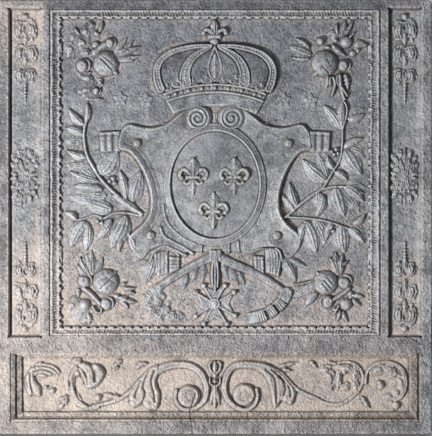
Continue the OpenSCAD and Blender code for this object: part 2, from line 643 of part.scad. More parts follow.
module frieze_scroll(right) color(dusty_iron) on_frieze() flip(!right)
    scale([frieze_scale, frieze_scale, 1]) {
    strand(smooth(vine_main, 2), vine_w * 0.6, vine_w, vine_rise);
    strand(smooth(vine_second, 2), vine_w * 0.9, vine_w * 0.5, vine_rise);
    strand(smooth(vine_last, 2), vine_w * 0.8, vine_w * 0.5, vine_rise);
    translate([disc_x, disc_y, 0]) cylinder(vine_rise * 0.9, disc_d / 2, disc_d * 0.38, $fn = 32);
    leaves(vine_leaves);
    translate([327, -2, 0]) dome(22, 8);
    translate([262, 12, 0]) dome(18, 8);
}

module frieze_palmette() color(dusty_iron) on_frieze()
    scale([frieze_scale, frieze_scale, 1]) {
    translate([0, 38, 0]) dome(13, 7);
    for (s = [-1, 1]) leaf([s * 2, 20, s * 13, 48, 9], 6);
    leaf([0, 34, 0, 4, 10], 7);
    for (y = [4, -6]) translate([0, y, 0]) cylinder(5, 4.5, 3);
    leaf([0, -8, 0, -44, 11], 7);
    translate([-7, -48, 0]) cube([14, 5, 4]);
}

// ---- the nodes -----------------------------------------------------------------------

back_plate();
outer_stile(false);  // left_outer_stile
outer_stile(true);  // right_outer_stile
inner_stile(false);  // left_inner_stile
inner_stile(true);  // right_inner_stile
rail(panel_y + panel_h, top_rail_h);  // top_rail
rail(middle_rail_y, middle_rail_h);  // middle_rail
rail(0, bottom_rail_h);  // bottom_rail
leaf_moulding(0);  // leaf_moulding_top
leaf_moulding(1);  // leaf_moulding_right
leaf_moulding(2);  // leaf_moulding_base
leaf_moulding(3);  // leaf_moulding_left
frieze_moulding(0);  // frieze_moulding_top
frieze_moulding(1);  // frieze_moulding_right
frieze_moulding(2);  // frieze_moulding_base
frieze_moulding(3);  // frieze_moulding_left
cartouche();
shield();
lily(-lily_dx, lily_upper_y);  // lily_left
lily(lily_dx, lily_upper_y);  // lily_right
lily(0, lily_base_y);  // lily_base
cartouche_volutes();
cartouche_bosses();
console(false);  // left_console
console(true);  // right_console
crown_cap();
crown_band();
crown_arches();
crown_fleurons();
crown_finial();
laurel(laurel_left_stems, laurel_left_leaves, laurel_left_berries);  // left_laurel
laurel(laurel_right_stems, laurel_right_leaves, laurel_right_berries);  // right_laurel
pomegranate(-1, 1, top_sprays, top_berries);  // pomegranate_top_left
pomegranate(1, 1, top_sprays, top_berries);  // pomegranate_top_right
pomegranate(-1, -1, base_sprays, base_berries);  // pomegranate_base_left
pomegranate(1, -1, base_sprays, base_berries);  // pomegranate_base_right
ribbon();
collar();
order_cross();
tassel();
mantling(false);  // mantling_left
mantling(true);  // mantling_right
field_florets();
husks(false, true);  // husks_top_left
husks(true, true);  // husks_top_right
husks(false, false);  // husks_base_left
husks(true, false);  // husks_base_right
rosette(false);  // rosette_left
rosette(true);  // rosette_right
frieze_scroll(false);  // frieze_scroll_left
frieze_scroll(true);  // frieze_scroll_right
frieze_palmette();
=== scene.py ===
import bpy
import bmesh
import math
import numpy as np
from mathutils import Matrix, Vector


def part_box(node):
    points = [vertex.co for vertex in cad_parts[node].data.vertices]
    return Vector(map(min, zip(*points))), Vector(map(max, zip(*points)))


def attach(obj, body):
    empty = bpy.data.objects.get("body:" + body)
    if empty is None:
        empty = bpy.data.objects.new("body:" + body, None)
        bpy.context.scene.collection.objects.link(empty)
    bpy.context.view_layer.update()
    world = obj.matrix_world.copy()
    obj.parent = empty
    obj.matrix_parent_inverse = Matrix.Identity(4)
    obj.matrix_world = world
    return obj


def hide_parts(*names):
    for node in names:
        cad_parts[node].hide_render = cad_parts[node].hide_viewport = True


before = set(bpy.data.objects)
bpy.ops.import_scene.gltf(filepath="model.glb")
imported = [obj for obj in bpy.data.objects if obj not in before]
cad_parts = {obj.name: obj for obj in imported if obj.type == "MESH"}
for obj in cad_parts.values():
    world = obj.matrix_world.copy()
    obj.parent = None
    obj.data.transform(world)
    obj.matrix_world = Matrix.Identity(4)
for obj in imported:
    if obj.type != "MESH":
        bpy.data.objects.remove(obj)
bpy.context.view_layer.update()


# ---- The slab ------------------------------------------------------------------------
# The flat plate behind everything, iron poured into an open bed of sand: its face is
# wavy and grained, its corners are worn round, and two cracks run through it from the
# heat of many fires. All the relief is cast in one with it and grows out of its face.
MM = 0.001
# Each side of a node's box, as the corner and the axis it is read from
box_sides = {"left": (0, 0), "front": (0, 1), "lower": (0, 2),
             "right": (1, 0), "back": (1, 1), "upper": (1, 2)}


def edge_of(node, side):
    """Where one side of a node's box lies, in whole mm."""
    corner, axis = box_sides[side]
    return round(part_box(node)[corner][axis] / MM)


left, right, top = (edge_of("back_plate", side) for side in ("left", "right", "upper"))
face_y, back_y = edge_of("back_plate", "front"), edge_of("back_plate", "back")

# The face is modelled as heights above the slab on a lattice of 1 mm cells
lattice_x, lattice_z = np.meshgrid(np.arange(left, right + 1.0), np.arange(top + 1.0))


def unit(value):
    """The value, held between 0 and 1."""
    return np.clip(value, 0, 1)


def bell(away, width):
    """1 where away is 0, and next to nothing two widths from there."""
    return np.exp(-(away / width) ** 2)


def lumps(x, z, size, seed):
    """Smooth swells of the cast surface, from -1 to 1, about size mm across."""
    table = np.random.default_rng(seed).uniform(-1, 1, (512, 512))
    u, v = x / size + 240.3, z / size + 11.7
    i, j = np.floor(u).astype(int), np.floor(v).astype(int)
    a, b = u - i, v - j
    a, b = a * a * (3 - 2 * a), b * b * (3 - 2 * b)
    i, j = i % 511, j % 511
    return ((table[i, j] * (1 - a) + table[i + 1, j] * a) * (1 - b)
            + (table[i, j + 1] * (1 - a) + table[i + 1, j + 1] * a) * b)


def from_segment(x, z, start, end):
    """How far along a segment the place nearest (x, z) lies, its distance, and a sign for its side."""
    (x0, z0), (x1, z1) = start, end
    length = max(math.hypot(x1 - x0, z1 - z0), 1e-6)
    ux, uz = (x1 - x0) / length, (z1 - z0) / length
    run = np.clip((x - x0) * ux + (z - z0) * uz, 0, length)
    away = np.hypot(x - x0 - run * ux, z - z0 - run * uz)
    return run, away, (z - z0) * ux - (x - x0) * uz


def crack(heights, points, width, depth):
    """Cuts a jagged crack along the points into heights over the whole lattice."""
    for start, end in zip(points[:-1], points[1:]):
        _, away, _ = from_segment(lattice_x, lattice_z, start, end)
        heights -= depth * bell(away, width)


# Both cracks, as they run over the face
foot_crack = [(-38, 82), (-44, 62), (-50, 44), (-48, 30), (-45, 15), (-44, -2)]
side_crack = [(376, 193), (388, 190), (399, 185), (410, 178)]

# Texture of the sand, from wide swells down to single grains; it lies over every piece
sand_sizes = [(0.34, 70), (0.30, 26), (0.24, 9), (0.20, 4.3), (0.14, 2.4)]
sand = sum(height * lumps(lattice_x, lattice_z, size, seed)
           for seed, (height, size) in enumerate(sand_sizes))
# The pitted burnt area low on the left, where the fire stood
burnt = bell(lattice_x + 130, 95) * bell(lattice_z - 235, 55)
sand += burnt * (1.5 * lumps(lattice_x, lattice_z, 12, 6) + lumps(lattice_x, lattice_z, 5.5, 7) - 0.8)
for path in (foot_crack, side_crack):
    crack(sand, path, 1.1, 2.4)
# Distance in from the plate's edge
rim = np.minimum(right - np.abs(lattice_x), np.minimum(lattice_z, top - lattice_z))
ground = (sand - sand.max() - 0.02) * unit(rim / 8)
# Each side panel has a deep slot along its left edge, and a slope up to its right one
panel_edges = [(edge_of("left_outer_stile", "right"), edge_of("left_inner_stile", "left")),
               (edge_of("right_inner_stile", "right"), edge_of("right_outer_stile", "left"))]
panel_low, panel_high = edge_of("left_inner_stile", "lower"), edge_of("left_inner_stile", "upper")
slot_depth, slot_width = 5.0, 2.4
slope_rise, slope_reach = 4.0, 6
for slot_edge, slope_edge in panel_edges:
    beside = unit(np.minimum(lattice_z - panel_low, panel_high - lattice_z) / 5)
    ground -= slot_depth * beside * bell(lattice_x - slot_edge - 1, slot_width)
    up = unit((lattice_x - slope_edge + slope_reach) / slope_reach)
    ground += slope_rise * beside * np.where(lattice_x <= slope_edge + 3, up, 0) ** 1.3
# No place may stand higher than this above the slab: that would be out of the plate's box
highest = 15.6
# canvas holds the highest iron at each cell, as the pieces are laid on one by one
canvas = ground.copy()
# Each piece with the lattice row and column that each of its points belongs to
castings = []
# Row and column of a plain place on the bottom rail
plain_place = (14, 600)
# The plate's corners are worn to this radius, and its edges wander in by up to this much
corner_radius, edge_wander = 9, 0.9


def worn(x, z):
    """Where a place drawn on the plate lies once the plate's edges and corners are worn."""
    side = np.abs(x) - (right - corner_radius)
    end = np.maximum(corner_radius - z, z - (top - corner_radius))
    cut = np.where((side > 0) & (end > 0),
                   np.maximum(side, end) / np.maximum(np.hypot(side, end), 1e-6), 1)
    new_x = np.where(cut < 1, np.sign(x) * (right - corner_radius + side * cut), x)
    from_top = top - corner_radius + end * cut
    new_z = np.where(cut < 1, np.where(z < corner_radius, corner_radius - end * cut, from_top), z)
    drift_x = edge_wander * (0.5 + 0.5 * lumps(x * 0 + np.sign(x), z, 37, 21)) * unit(1 + side / 20)
    drift_z = edge_wander * (0.5 + 0.5 * lumps(x, z * 0, 41, 22)) * unit(1 + (z - top) / 20)
    return new_x - np.sign(x) * drift_x, new_z - drift_z


def mesh_object(name, points, faces, smooth, material):
    """An object from points in mm; smooth says for each block of faces if it's shaded smooth."""
    mesh = bpy.data.meshes.new(name)
    mesh.vertices.add(len(points))
    mesh.vertices.foreach_set("co", (np.asarray(points, dtype=float) * MM).ravel())
    corners = [np.asarray(block) for block in faces]
    sizes = np.concatenate([np.full(len(block), block.shape[1]) for block in corners])
    mesh.loops.add(int(sizes.sum()))
    mesh.loops.foreach_set("vertex_index", np.concatenate([block.ravel() for block in corners]))
    mesh.polygons.add(len(sizes))
    mesh.polygons.foreach_set("loop_start", np.concatenate([[0], np.cumsum(sizes)[:-1]]))
    mesh.polygons.foreach_set("use_smooth", np.concatenate(
        [np.full(len(block), kind) for block, kind in zip(corners, smooth)]))
    mesh.update(calc_edges=True)
    mesh.validate()
    mesh.materials.append(material)
    piece = bpy.data.objects.new(name, mesh)
    bpy.context.scene.collection.objects.link(piece)
    return piece


def shader_group(name, inputs, outputs):
    """An empty shader node group with named inputs, each with its value, and outputs.

    It comes with its input and output nodes and the place on the object, in metres.
    """
    group = bpy.data.node_groups.new(name, "ShaderNodeTree")
    for label, value in inputs.items():
        socket = group.interface.new_socket(label, in_out="INPUT", socket_type="NodeSocketFloat")
        socket.default_value = value
    for label in outputs:
        group.interface.new_socket(label, in_out="OUTPUT", socket_type="NodeSocketFloat")
    given = group.nodes.new("NodeGroupInput").outputs
    out = group.nodes.new("NodeGroupOutput").inputs
    return group, given, out, group.nodes.new("ShaderNodeTexCoord").outputs["Object"]


def noise(tree, place, size, detail, roughness=0.5):
    """A noise texture in tree, about size mm from swell to swell."""
    texture = tree.nodes.new("ShaderNodeTexNoise")
    texture.inputs["Scale"].default_value = 1 / (size * MM)
    texture.inputs["Detail"].default_value = detail
    texture.inputs["Roughness"].default_value = roughness
    tree.links.new(place, texture.inputs["Vector"])
    return texture.outputs["Fac"]


def combine(tree, operation, first, *others):
    """Joins numbers and sockets one after the other by a maths operation."""
    for value in others or [0]:
        node = tree.nodes.new("ShaderNodeMath")
        node.operation = operation
        for socket, number in zip(node.inputs, (first, value)):
            if isinstance(number, (int, float)):
                socket.default_value = number
            else:
                tree.links.new(number, socket)
        first = node.outputs["Value"]
    return first


def times(tree, *values):
    """The product of numbers and sockets."""
    return combine(tree, "MULTIPLY", *values)


def plus(tree, *values):
    """The sum of numbers and sockets."""
    return combine(tree, "ADD", *values)


def uneven(tree, place, size, detail, roughness):
    """Noise round 0 instead of round a half."""
    return combine(tree, "SUBTRACT", noise(tree, place, size, detail, roughness), 0.5)


def across_and_up(tree, place):
    """The x and the z of a place."""
    split = tree.nodes.new("ShaderNodeSeparateXYZ")
    tree.links.new(place, split.inputs["Vector"])
    return split.outputs["X"], split.outputs["Z"]


def spread(tree, value, low, high, to_low=0.0, to_high=1.0):
    """Maps value from low..high to to_low..to_high, clamped, with soft ends."""
    node = tree.nodes.new("ShaderNodeMapRange")
    node.interpolation_type = "SMOOTHSTEP"
    for label, number in zip(("From Min", "From Max", "To Min", "To Max"), (low, high, to_low, to_high)):
        node.inputs[label].default_value = number
    tree.links.new(value, node.inputs["Value"])
    return node.outputs["Result"]


def from_mesh(tree, label):
    """A value that the mesh carries at each point."""
    node = tree.nodes.new("ShaderNodeAttribute")
    node.attribute_name = label
    return node.outputs["Fac"]


def cast_grain():
    """The grain of iron cast in sand: Tone is its light and dark, Height its roughness in mm."""
    group, given, out, place = shader_group("cast_grain", {"Coarse": 1.0}, ["Tone", "Height"])
    fine = noise(group, place, 3.0, 2, 0.75)
    clouds = noise(group, place, 16, 3, 0.65)
    broad = noise(group, place, 75, 2, 0.6)
    tone = plus(group, times(group, clouds, 1.4), times(group, broad, 1.1), times(group, fine, 1.6))
    group.links.new(spread(group, tone, 1.50, 2.60), out["Tone"])
    pebbles = times(group, given["Coarse"], uneven(group, place, 5.5, 2, 0.6), 2.8)
    pits = spread(group, noise(group, place, 8.5, 1), 0.25, 0.40, -1.4, 0.0)
    group.links.new(plus(group, pebbles, pits, times(group, fine, 1.9)), out["Height"])
    return group


def hearth_dust():
    """Mask of the tan dust of rust and ash: it lies low, to the left, and in the hollows."""
    group, given, out, place = shader_group(
        "hearth_dust", {"Amount": 0.2, "In Hollows": 0.4, "Low": 0.5, "Frieze Floor": 0.0}, ["Mask"])
    x, z = across_and_up(group, place)
    low = spread(group, z, 0.19, 0.50, 1.0, 0.0)
    to_the_left = spread(group, x, -0.40, 0.10, 1.0, 0.36)
    # it also lies on the upper end of the left side panel
    panel_end = times(group, spread(group, z, 0.66, 0.84, 0.08, 0.6),
                      spread(group, x, -0.345, -0.325, 1.0, 0.0))
    # and on the sunk floor of the frieze
    floor = times(group, given["Frieze Floor"], plus(group, 0.6, times(group, to_the_left, 0.4)),
                  spread(group, z, 0.153, 0.162, 1.0, 0.0),
                  spread(group, noise(group, place, 45, 3, 0.6), 0.38, 0.60, 0.5, 1.2))
    total = plus(group, given["Amount"], times(group, low, to_the_left, given["Low"]), panel_end, floor,
                 times(group, uneven(group, place, 80, 2, 0.6), 0.65), uneven(group, place, 6, 2, 0.7),
                 times(group, from_mesh(group, "nook"), given["In Hollows"]))
    group.links.new(spread(group, total, 0.10, 1.10), out["Mask"])
    return group


def soot_and_rust():
    """Masks of the painted shade that darkens the plate towards its top, and of brown rust patches."""
    group, given, out, place = shader_group("soot_and_rust", {"Top Shade": 1.0, "Rust": 1.0}, ["Top Shade", "Rust"])
    x, z = across_and_up(group, place)
    level = plus(group, z, times(group, uneven(group, place, 55, 3, 0.6), 0.5))
    # the sunk side panels take less of this painted shade than the field between them
    aside = combine(group, "ABSOLUTE", x)
    panels = combine(group, "MAXIMUM", spread(group, aside, 0.325, 0.34, 1.0, 0.1),
                     spread(group, aside, 0.405, 0.415))
    soot = times(group, spread(group, level, 0.35, 0.80), panels, given["Top Shade"])
    group.links.new(soot, out["Top Shade"])
    rust = spread(group, noise(group, place, 24, 3, 0.7), 0.46, 0.68)
    group.links.new(times(group, rust, given["Rust"]), out["Rust"])
    return group


def rubbed_and_highlit_edges():
    """Mask of the high places painted bright: partly wear from hands and brushes, partly a painted highlight.
    """
    group, given, out, place = shader_group("rubbed_and_highlit_edges", {"Amount": 1.0}, ["Mask"])
    broken = spread(group, noise(group, place, 6, 3, 0.6), 0.25, 0.75, 0.35, 1.0)
    mask = times(group, from_mesh(group, "proud"), given["Amount"], broken)
    group.links.new(spread(group, mask, 0.05, 0.9), out["Mask"])
    return group


GRAIN, DUST, SHADE_AND_RUST, RUB_AND_HIGHLIGHT = cast_grain(), hearth_dust(), soot_and_rust(), rubbed_and_highlit_edges()


def placed(tree, group, inputs):
    """Puts a shader group into tree with these inputs, and gives its outputs."""
    node = tree.nodes.new("ShaderNodeGroup")
    node.node_tree = group
    for label, value in inputs.items():
        node.inputs[label].default_value = value
    return node.outputs


def blend(tree, share, first, second, how="MIX"):
    """A colour mix in tree; share, first and second are numbers, colours or sockets."""
    node = tree.nodes.new("ShaderNodeMix")
    node.data_type = "RGBA"
    node.blend_type = how
    for socket, value in ((node.inputs[0], share), (node.inputs[6], first), (node.inputs[7], second)):
        if isinstance(value, (int, float, tuple)):
            socket.default_value = value
        else:
            tree.links.new(value, socket)
    return node.outputs[2]


def shade(red, green, blue):
    """A colour as seen, 0 to 255 a channel, as the linear one that a node takes."""
    return tuple(((c / 255 + 0.055) / 1.055) ** 2.4 for c in (red, green, blue)) + (1.0,)


def iron(name, dark, light, dusty, dust=(212, 199, 190), hollows=0.55, rub_and_highlight=1.0, coarse=1.0,
         low=0.6, frieze_floor=0.0, metallic=0.12, roughness=0.58, bump=1.0, soot=1.0):
    """Cast iron: dark and light tones, dust, rubbed and highlit high places, and painted shade."""
    dark, light, dust = (shade(*tone) for tone in (dark, light, dust))
    material = bpy.data.materials.new(name)
    material.use_nodes = True
    tree = material.node_tree
    surface = tree.nodes["Principled BSDF"]
    grain = placed(tree, GRAIN, {"Coarse": coarse})
    stains_and_shade = placed(tree, SHADE_AND_RUST, {"Top Shade": 0.5 * soot, "Rust": 0.45})
    dusted = placed(tree, DUST, {"Amount": dusty, "In Hollows": hollows, "Low": low,
                                 "Frieze Floor": frieze_floor})["Mask"]
    bright = placed(tree, RUB_AND_HIGHLIGHT, {"Amount": rub_and_highlight})["Mask"]
    colour = blend(tree, grain["Tone"], dark, light)
    colour = blend(tree, stains_and_shade["Rust"], colour, (0.84, 0.74, 0.66, 1.0), "MULTIPLY")
    # painted shade: darker and bluer towards the top of the plate
    colour = blend(tree, stains_and_shade["Top Shade"], colour, (0.48, 0.50, 0.56, 1.0), "MULTIPLY")
    dusting = blend(tree, grain["Tone"], tuple(c * 0.6 for c in dust[:3]) + (1.0,), dust)
    colour = blend(tree, dusted, colour, dusting)
    # high places lighter: partly rubbed wear, partly a painted highlight
    colour = blend(tree, times(tree, bright, 0.6), colour, shade(208, 209, 212))
    # painted shade: the hollows and the foot of each edge are darkened towards a dark brown
    hollow = spread(tree, from_mesh(tree, "hollow"), 0.15, 1.0, 0.0, 0.7)
    colour = blend(tree, hollow, colour, shade(50, 44, 40))
    tree.links.new(colour, surface.inputs["Base Color"])
    rough = plus(tree, times(tree, dusted, 0.14),
                 combine(tree, "SUBTRACT", roughness + 0.08, times(tree, bright, 0.2)))
    rough = combine(tree, "SUBTRACT", rough, times(tree, grain["Tone"], 0.12))
    tree.links.new(rough, surface.inputs["Roughness"])
    surface.inputs["Metallic"].default_value = metallic
    relief = tree.nodes.new("ShaderNodeBump")
    relief.inputs["Distance"].default_value = MM
    relief.inputs["Strength"].default_value = bump
    tree.links.new(grain["Height"], relief.inputs["Height"])
    tree.links.new(relief.outputs["Normal"], surface.inputs["Normal"])
    return material


def corners_of(grid):
    """The corners of each cell of a grid, as four views, anticlockwise seen from the front."""
    return [grid[:-1, :-1], grid[:-1, 1:], grid[1:, 1:], grid[1:, :-1]]


def lattice_faces(indices, flipped=False):
    """Quads over a whole grid of point indices, facing the front unless flipped."""
    corners = corners_of(indices)
    return np.stack([c.ravel() for c in (corners[::-1] if flipped else corners)], axis=1)


def border(indices):
    """The indices round a grid's edge, anticlockwise seen from the front."""
    return np.concatenate([indices[0, :-1], indices[:-1, -1], indices[-1, :0:-1], indices[:0:-1, 0]])


def make_slab():
    """Front on a 2 mm grid, four rings down the sides, back on a 4 mm grid, one closed mesh."""
    shape = (top // 2 + 1, (right - left) // 2 + 1)
    rows, cols = (2 * index.ravel() for index in np.indices(shape))
    x, z = worn(lattice_x[rows, cols], lattice_z[rows, cols])
    points = [np.stack([x, face_y - ground[rows, cols], z], axis=1)]
    front = np.arange(len(x)).reshape(shape)
    faces = [lattice_faces(front)]
    ring = border(front)
    wear_rows, wear_cols = [rows], [cols]
    out_x = np.sign(x[ring]) * (np.abs(x[ring]) > right - 4)
    out_z = (z[ring] > top - 4) * 1.0
    last, count = ring, len(x)
    for number, depth in enumerate((4, 8, 12, 15)):
        dent = 0.35 + 0.35 * lumps(x[ring] + z[ring], z[ring] - x[ring] + 40 * number, 8, 31 + number)
        points.append(np.stack([x[ring] - out_x * dent, np.full(len(ring), face_y + depth),
                                z[ring] - out_z * dent], axis=1))
        new = count + np.arange(len(ring))
        faces.append(np.stack([last, new, np.roll(new, -1), np.roll(last, -1)], axis=1))
        wear_rows.append(rows[ring])
        wear_cols.append(cols[ring])
        last, count = new, count + len(ring)
    # the back lies a little inside the sides, and is uneven
    back_x = x.reshape(shape)[::2, ::2] * (1 - 1.2 / right)
    back_z = np.clip(z.reshape(shape)[::2, ::2], 0.8, top - 2)
    swell = (0.5 * lumps(back_x, back_z, 60, 41) + 0.35 * lumps(back_x, back_z, 17, 42)
             + 0.15 * lumps(back_x, back_z, 6, 43))
    back_points = [back_x, back_y - 0.9 + 0.85 * swell, back_z]
    points.append(np.stack([place.ravel() for place in back_points], axis=1))
    back = count + np.arange(back_x.size).reshape(back_x.shape)
    faces.append(lattice_faces(back, flipped=True))
    # the back is plain: it takes its wear from a plain place on the front
    wear_rows.append(np.full(back_x.size, plain_place[0]))
    wear_cols.append(np.full(back_x.size, plain_place[1]))
    seam = border(back)
    one, two, three = last[0::2], last[1::2], np.roll(last, -2)[0::2]
    faces.append(np.stack([one, seam, np.roll(seam, -1), three, two], axis=1))
    slab = mesh_object("slab", np.concatenate(points), faces, [True] * len(faces), slab_iron)
    castings.append((slab, np.concatenate(wear_rows), np.concatenate(wear_cols)))
    return slab


slab_iron = iron("sand_cast_grey", (104, 106, 112), (178, 181, 187), dusty=0.06, low=0.95,
                 frieze_floor=0.56)
slab = make_slab()
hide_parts("back_plate")
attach(slab, "root")


# ---- The frame: stiles and rails -----------------------------------------------------
# Plain bars that stand 9 mm proud of the sunk grounds, planted on the founder's board.
# Their outer edges are worn round; towards the side panels they fall away in a bevel.
frame_rise = 9
panel_out, panel_in = -edge_of("left_outer_stile", "right"), -edge_of("left_inner_stile", "left")
moulding_out = -edge_of("left_inner_stile", "right")
# How far the wall beside a panel leans: steep on the left of each panel, easier on the right
steep_wall, easy_wall, end_wall = 3.4, 5.5, 4.5


def rounded(distance, radius):
    """How much lower an edge rounded to radius lies, that far in from it."""
    inner = np.clip(radius - distance, 0, radius)
    return radius - np.sqrt(radius ** 2 - inner ** 2)


def frame_heights():
    """Heights of the frame's bars over the whole lattice."""
    heights = frame_rise - 0.5 + sand * 0.9 - rounded(rim, 3.5)
    half = (panel_out - panel_in) / 2
    for middle in (-(panel_in + panel_out) / 2, (panel_in + panel_out) / 2):
        from_left = middle - half - lattice_x
        from_right = lattice_x - middle - half
        from_end = np.maximum(panel_low - lattice_z, lattice_z - panel_high)
        for distance, width, drop in ((from_left, steep_wall, frame_rise + 4.5),
                                      (from_right, easy_wall, frame_rise - slope_rise + 0.3),
                                      (from_end, end_wall, frame_rise + 1.8)):
            others = [d for d in (from_left, from_right, from_end) if d is not distance]
            beside = np.maximum(others[0], others[1]) < width
            fall = drop * (1 - unit(distance / width)) ** 1.2
            heights -= np.where(beside & (distance >= 0), fall, 0)
    # the narrow channel between a stile and the leaf moulding
    channel = np.abs(np.abs(lattice_x) - moulding_out)
    inside = (lattice_z > panel_low) & (lattice_z < panel_high)
    return heights - np.where(inside, 3.4 * bell(channel, 1.3), 0)


# The height of a place that no part of a piece covers
NOTHING = -30.0


def gather(first, second, soft):
    """The higher of two heights, with the crease between them filled over soft mm."""
    share = unit(0.5 + 0.5 * (first - second) / soft)
    return second * (1 - share) + first * share + soft * 0.5 * share * (1 - share)


def smooth_line(points, steps=6):
    """A smooth line through given points, steps places from each to the next."""
    p = np.array([points[0], *points, points[-1]], dtype=float)
    t = (np.arange(steps) / steps)[:, None]
    spans = [0.5 * (2 * b + (c - a) * t + (2 * a - 5 * b + 4 * c - d) * t ** 2
                    + (3 * b - a - 3 * c + d) * t ** 3)
             for a, b, c, d in zip(p[:-3], p[1:-2], p[2:-1], p[3:])]
    return np.concatenate(spans + [p[-1:]])


class Relief:
    """A carving on a patch of the face, as heights in mm above the slab.

    Its shapes are drawn about an origin on the face, x to the right and z up. Each joins
    what is drawn already, and where the piece stands above what lies there, it is cast.
    """

    def __init__(self, node, origin=(0, 0), mirrored=False, upturned=False, margin=4):
        self.node = node
        floor = max(edge_of(node, "lower") - margin, 0)
        start = max(edge_of(node, "left") - left - margin, 0)
        self.patch = (slice(floor, edge_of(node, "upper") + margin + 2),
                      slice(start, edge_of(node, "right") - left + margin + 2))
        self.x = (lattice_x[self.patch] - origin[0]) * (-1 if mirrored else 1)
        self.z = (lattice_z[self.patch] - origin[1]) * (-1 if upturned else 1)
        self.heights = np.full(self.x.shape, NOTHING)

    def near(self, points, reach):
        """The part of the patch within reach of the points."""
        points = np.asarray(points, dtype=float)
        low, high = points.min(axis=0) - reach, points.max(axis=0) + reach
        cols = np.flatnonzero((self.x[0] > low[0]) & (self.x[0] < high[0]))
        rows = np.flatnonzero((self.z[:, 0] > low[1]) & (self.z[:, 0] < high[1]))
        if not len(cols) or not len(rows):
            return slice(0, 0), slice(0, 0)
        return slice(rows[0], rows[-1] + 1), slice(cols[0], cols[-1] + 1)

    def around(self, x, z, reach):
        """The part of the patch round a place, and how far right of it and above it each point is."""
        part = self.near([(x, z)], reach)
        return part, self.x[part] - x, self.z[part] - z

    def measure(self, points, reach):
        """The part of the patch near a smooth line through the points, and where it lies.

        That is how far along the line its nearest place is, how far across it, + on its
        left, and how long the line is.
        """
        part = self.near(points, reach)
        x, z = self.x[part], self.z[part]
        best = np.full(x.shape, np.inf)
        along, across = np.zeros(x.shape), np.zeros(x.shape)
        walked = 0.0
        line = smooth_line(points)
        for start, end in zip(line[:-1], line[1:]):
            run, away, side = from_segment(x, z, start, end)
            nearer = away < best
            best = np.where(nearer, away, best)
            along = np.where(nearer, walked + run, along)
            across = np.where(nearer, np.copysign(away, side), across)
            walked += max(math.hypot(*(end - start)), 1e-6)
        return part, along, across, walked

    def inside(self, outline):
        """The part near an outline, and the distance in from its edge, negative outside it."""
        part = self.near(outline, 12)
        x, z = self.x[part], self.z[part]
        best = np.full(x.shape, np.inf)
        odd = np.zeros(x.shape, dtype=bool)
        line = np.asarray(outline, dtype=float)
        for start, end in zip(line, np.roll(line, -1, axis=0)):
            best = np.minimum(best, from_segment(x, z, start, end)[1])
            (x0, z0), (x1, z1) = start, end
            if z0 != z1:
                odd ^= ((z0 > z) != (z1 > z)) & (x < (x1 - x0) * (z - z0) / (z1 - z0) + x0)
        return part, np.where(odd, best, -best)

    def add(self, part, heights, soft=1.0):
        """Joins heights to what stands in a part already, over soft mm."""
        self.heights[part] = gather(self.heights[part], heights, soft)

    def leaf(self, x0, z0, x1, z1, width, rise, bend=0.0, crease=0.0, veins=0.0, soft=0.3, roof=0.36,
             teeth=0):
        """A pointed leaf from stalk to tip, curved aside by bend, with a raised middle rib.

        crease is how deep it is sunk beside the rib, veins how deep the furrows between its
        lengthwise ribs are, roof the share of its rise that falls away evenly from rib to
        edge, and teeth how many its edge has a side, with a groove from each notch.
        """
        part = self.near([(x0, z0), (x1, z1)], width / 2 + abs(bend) + 4)
        length = math.hypot(x1 - x0, z1 - z0)
        ux, uz = (x1 - x0) / length, (z1 - z0) / length
        x, z = self.x[part] - x0, self.z[part] - z0
        run = x * ux + z * uz
        t = np.clip(run / length, 0.001, 0.999)
        side = np.abs(z * ux - x * uz - bend * 4 * t * (1 - t))
        half = 0.5 * width * np.sin(math.pi * t ** 0.76) ** 0.74
        if teeth:
            tooth = (t - 0.45 * side / length) * teeth + 0.35
            half = half * (0.6 + 0.4 * (tooth % 1))
        share = np.minimum(side / half, 6)
        body = (rise * (0.5 + 0.5 * np.sin(math.pi * t ** 0.7))
                * (1 - roof * share - (1 - roof) * share ** 3.4))
        body -= crease * rise * bell(share - 0.28, 0.14) * (1 - 0.5 * t)
        body -= veins * (0.5 - 0.5 * np.cos(2 * math.pi * share / 0.44)) * (share < 1.05)
        if teeth:
            notch = np.abs(tooth - np.round(tooth))
            body -= 0.34 * rise * bell(notch, 0.17) * unit(share * 2 - 0.2) * (share < 1.1)
        body -= 4 * np.maximum(np.maximum(-run, run - length), 0)
        self.add(part, body, soft)

    def furrow(self, points, depth, width):
        """Cuts a channel along the points into what stands there."""
        part, _, across, _ = self.measure(points, 3 * width)
        self.heights[part] -= depth * bell(across, width)

    def lobe(self, x, z, wide, tall, rise, turn=0.0, ring=0.56, ragged=0.24, soft=0.2):
        """A rounded lobe of a worn husk or an open bud, with a channel round its swollen core.

        ring is how far out the channel runs, and ragged how torn the lobe's edge is.
        """
        part, across, along = self.around(x, z, max(wide, tall) / 2 + 4)
        a = math.radians(turn)
        u = (across * math.cos(a) + along * math.sin(a)) * 2 / wide
        v = (along * math.cos(a) - across * math.sin(a)) * 2 / tall
        share = np.hypot(u, v) * (1 + ragged * lumps(self.x[part] + x, self.z[part] + z, 5.5, 71))
        body = rise * (1 - np.minimum(share, 5) ** 3) - 0.34 * rise * bell(share - ring, 0.15)
        self.add(part, body, soft)

    def cup(self, x, z, r, rise, turn):
        """An open bud: round, with a crescent sunk inside its rim on the side it turns to."""
        part, across, along = self.around(x, z, r + 4)
        side_x, side_z = math.cos(math.radians(turn)), math.sin(math.radians(turn))
        u, v = across / r, along / r
        core = np.hypot(u + 0.25 * side_x, v + 0.25 * side_z)
        facing = unit(0.55 + u * side_x + v * side_z)
        body = rise * (1 - np.minimum(np.hypot(u, v), 5) ** 7)
        body -= 0.7 * rise * bell(core - 0.84, 0.22) * facing
        self.add(part, body, 0.2)

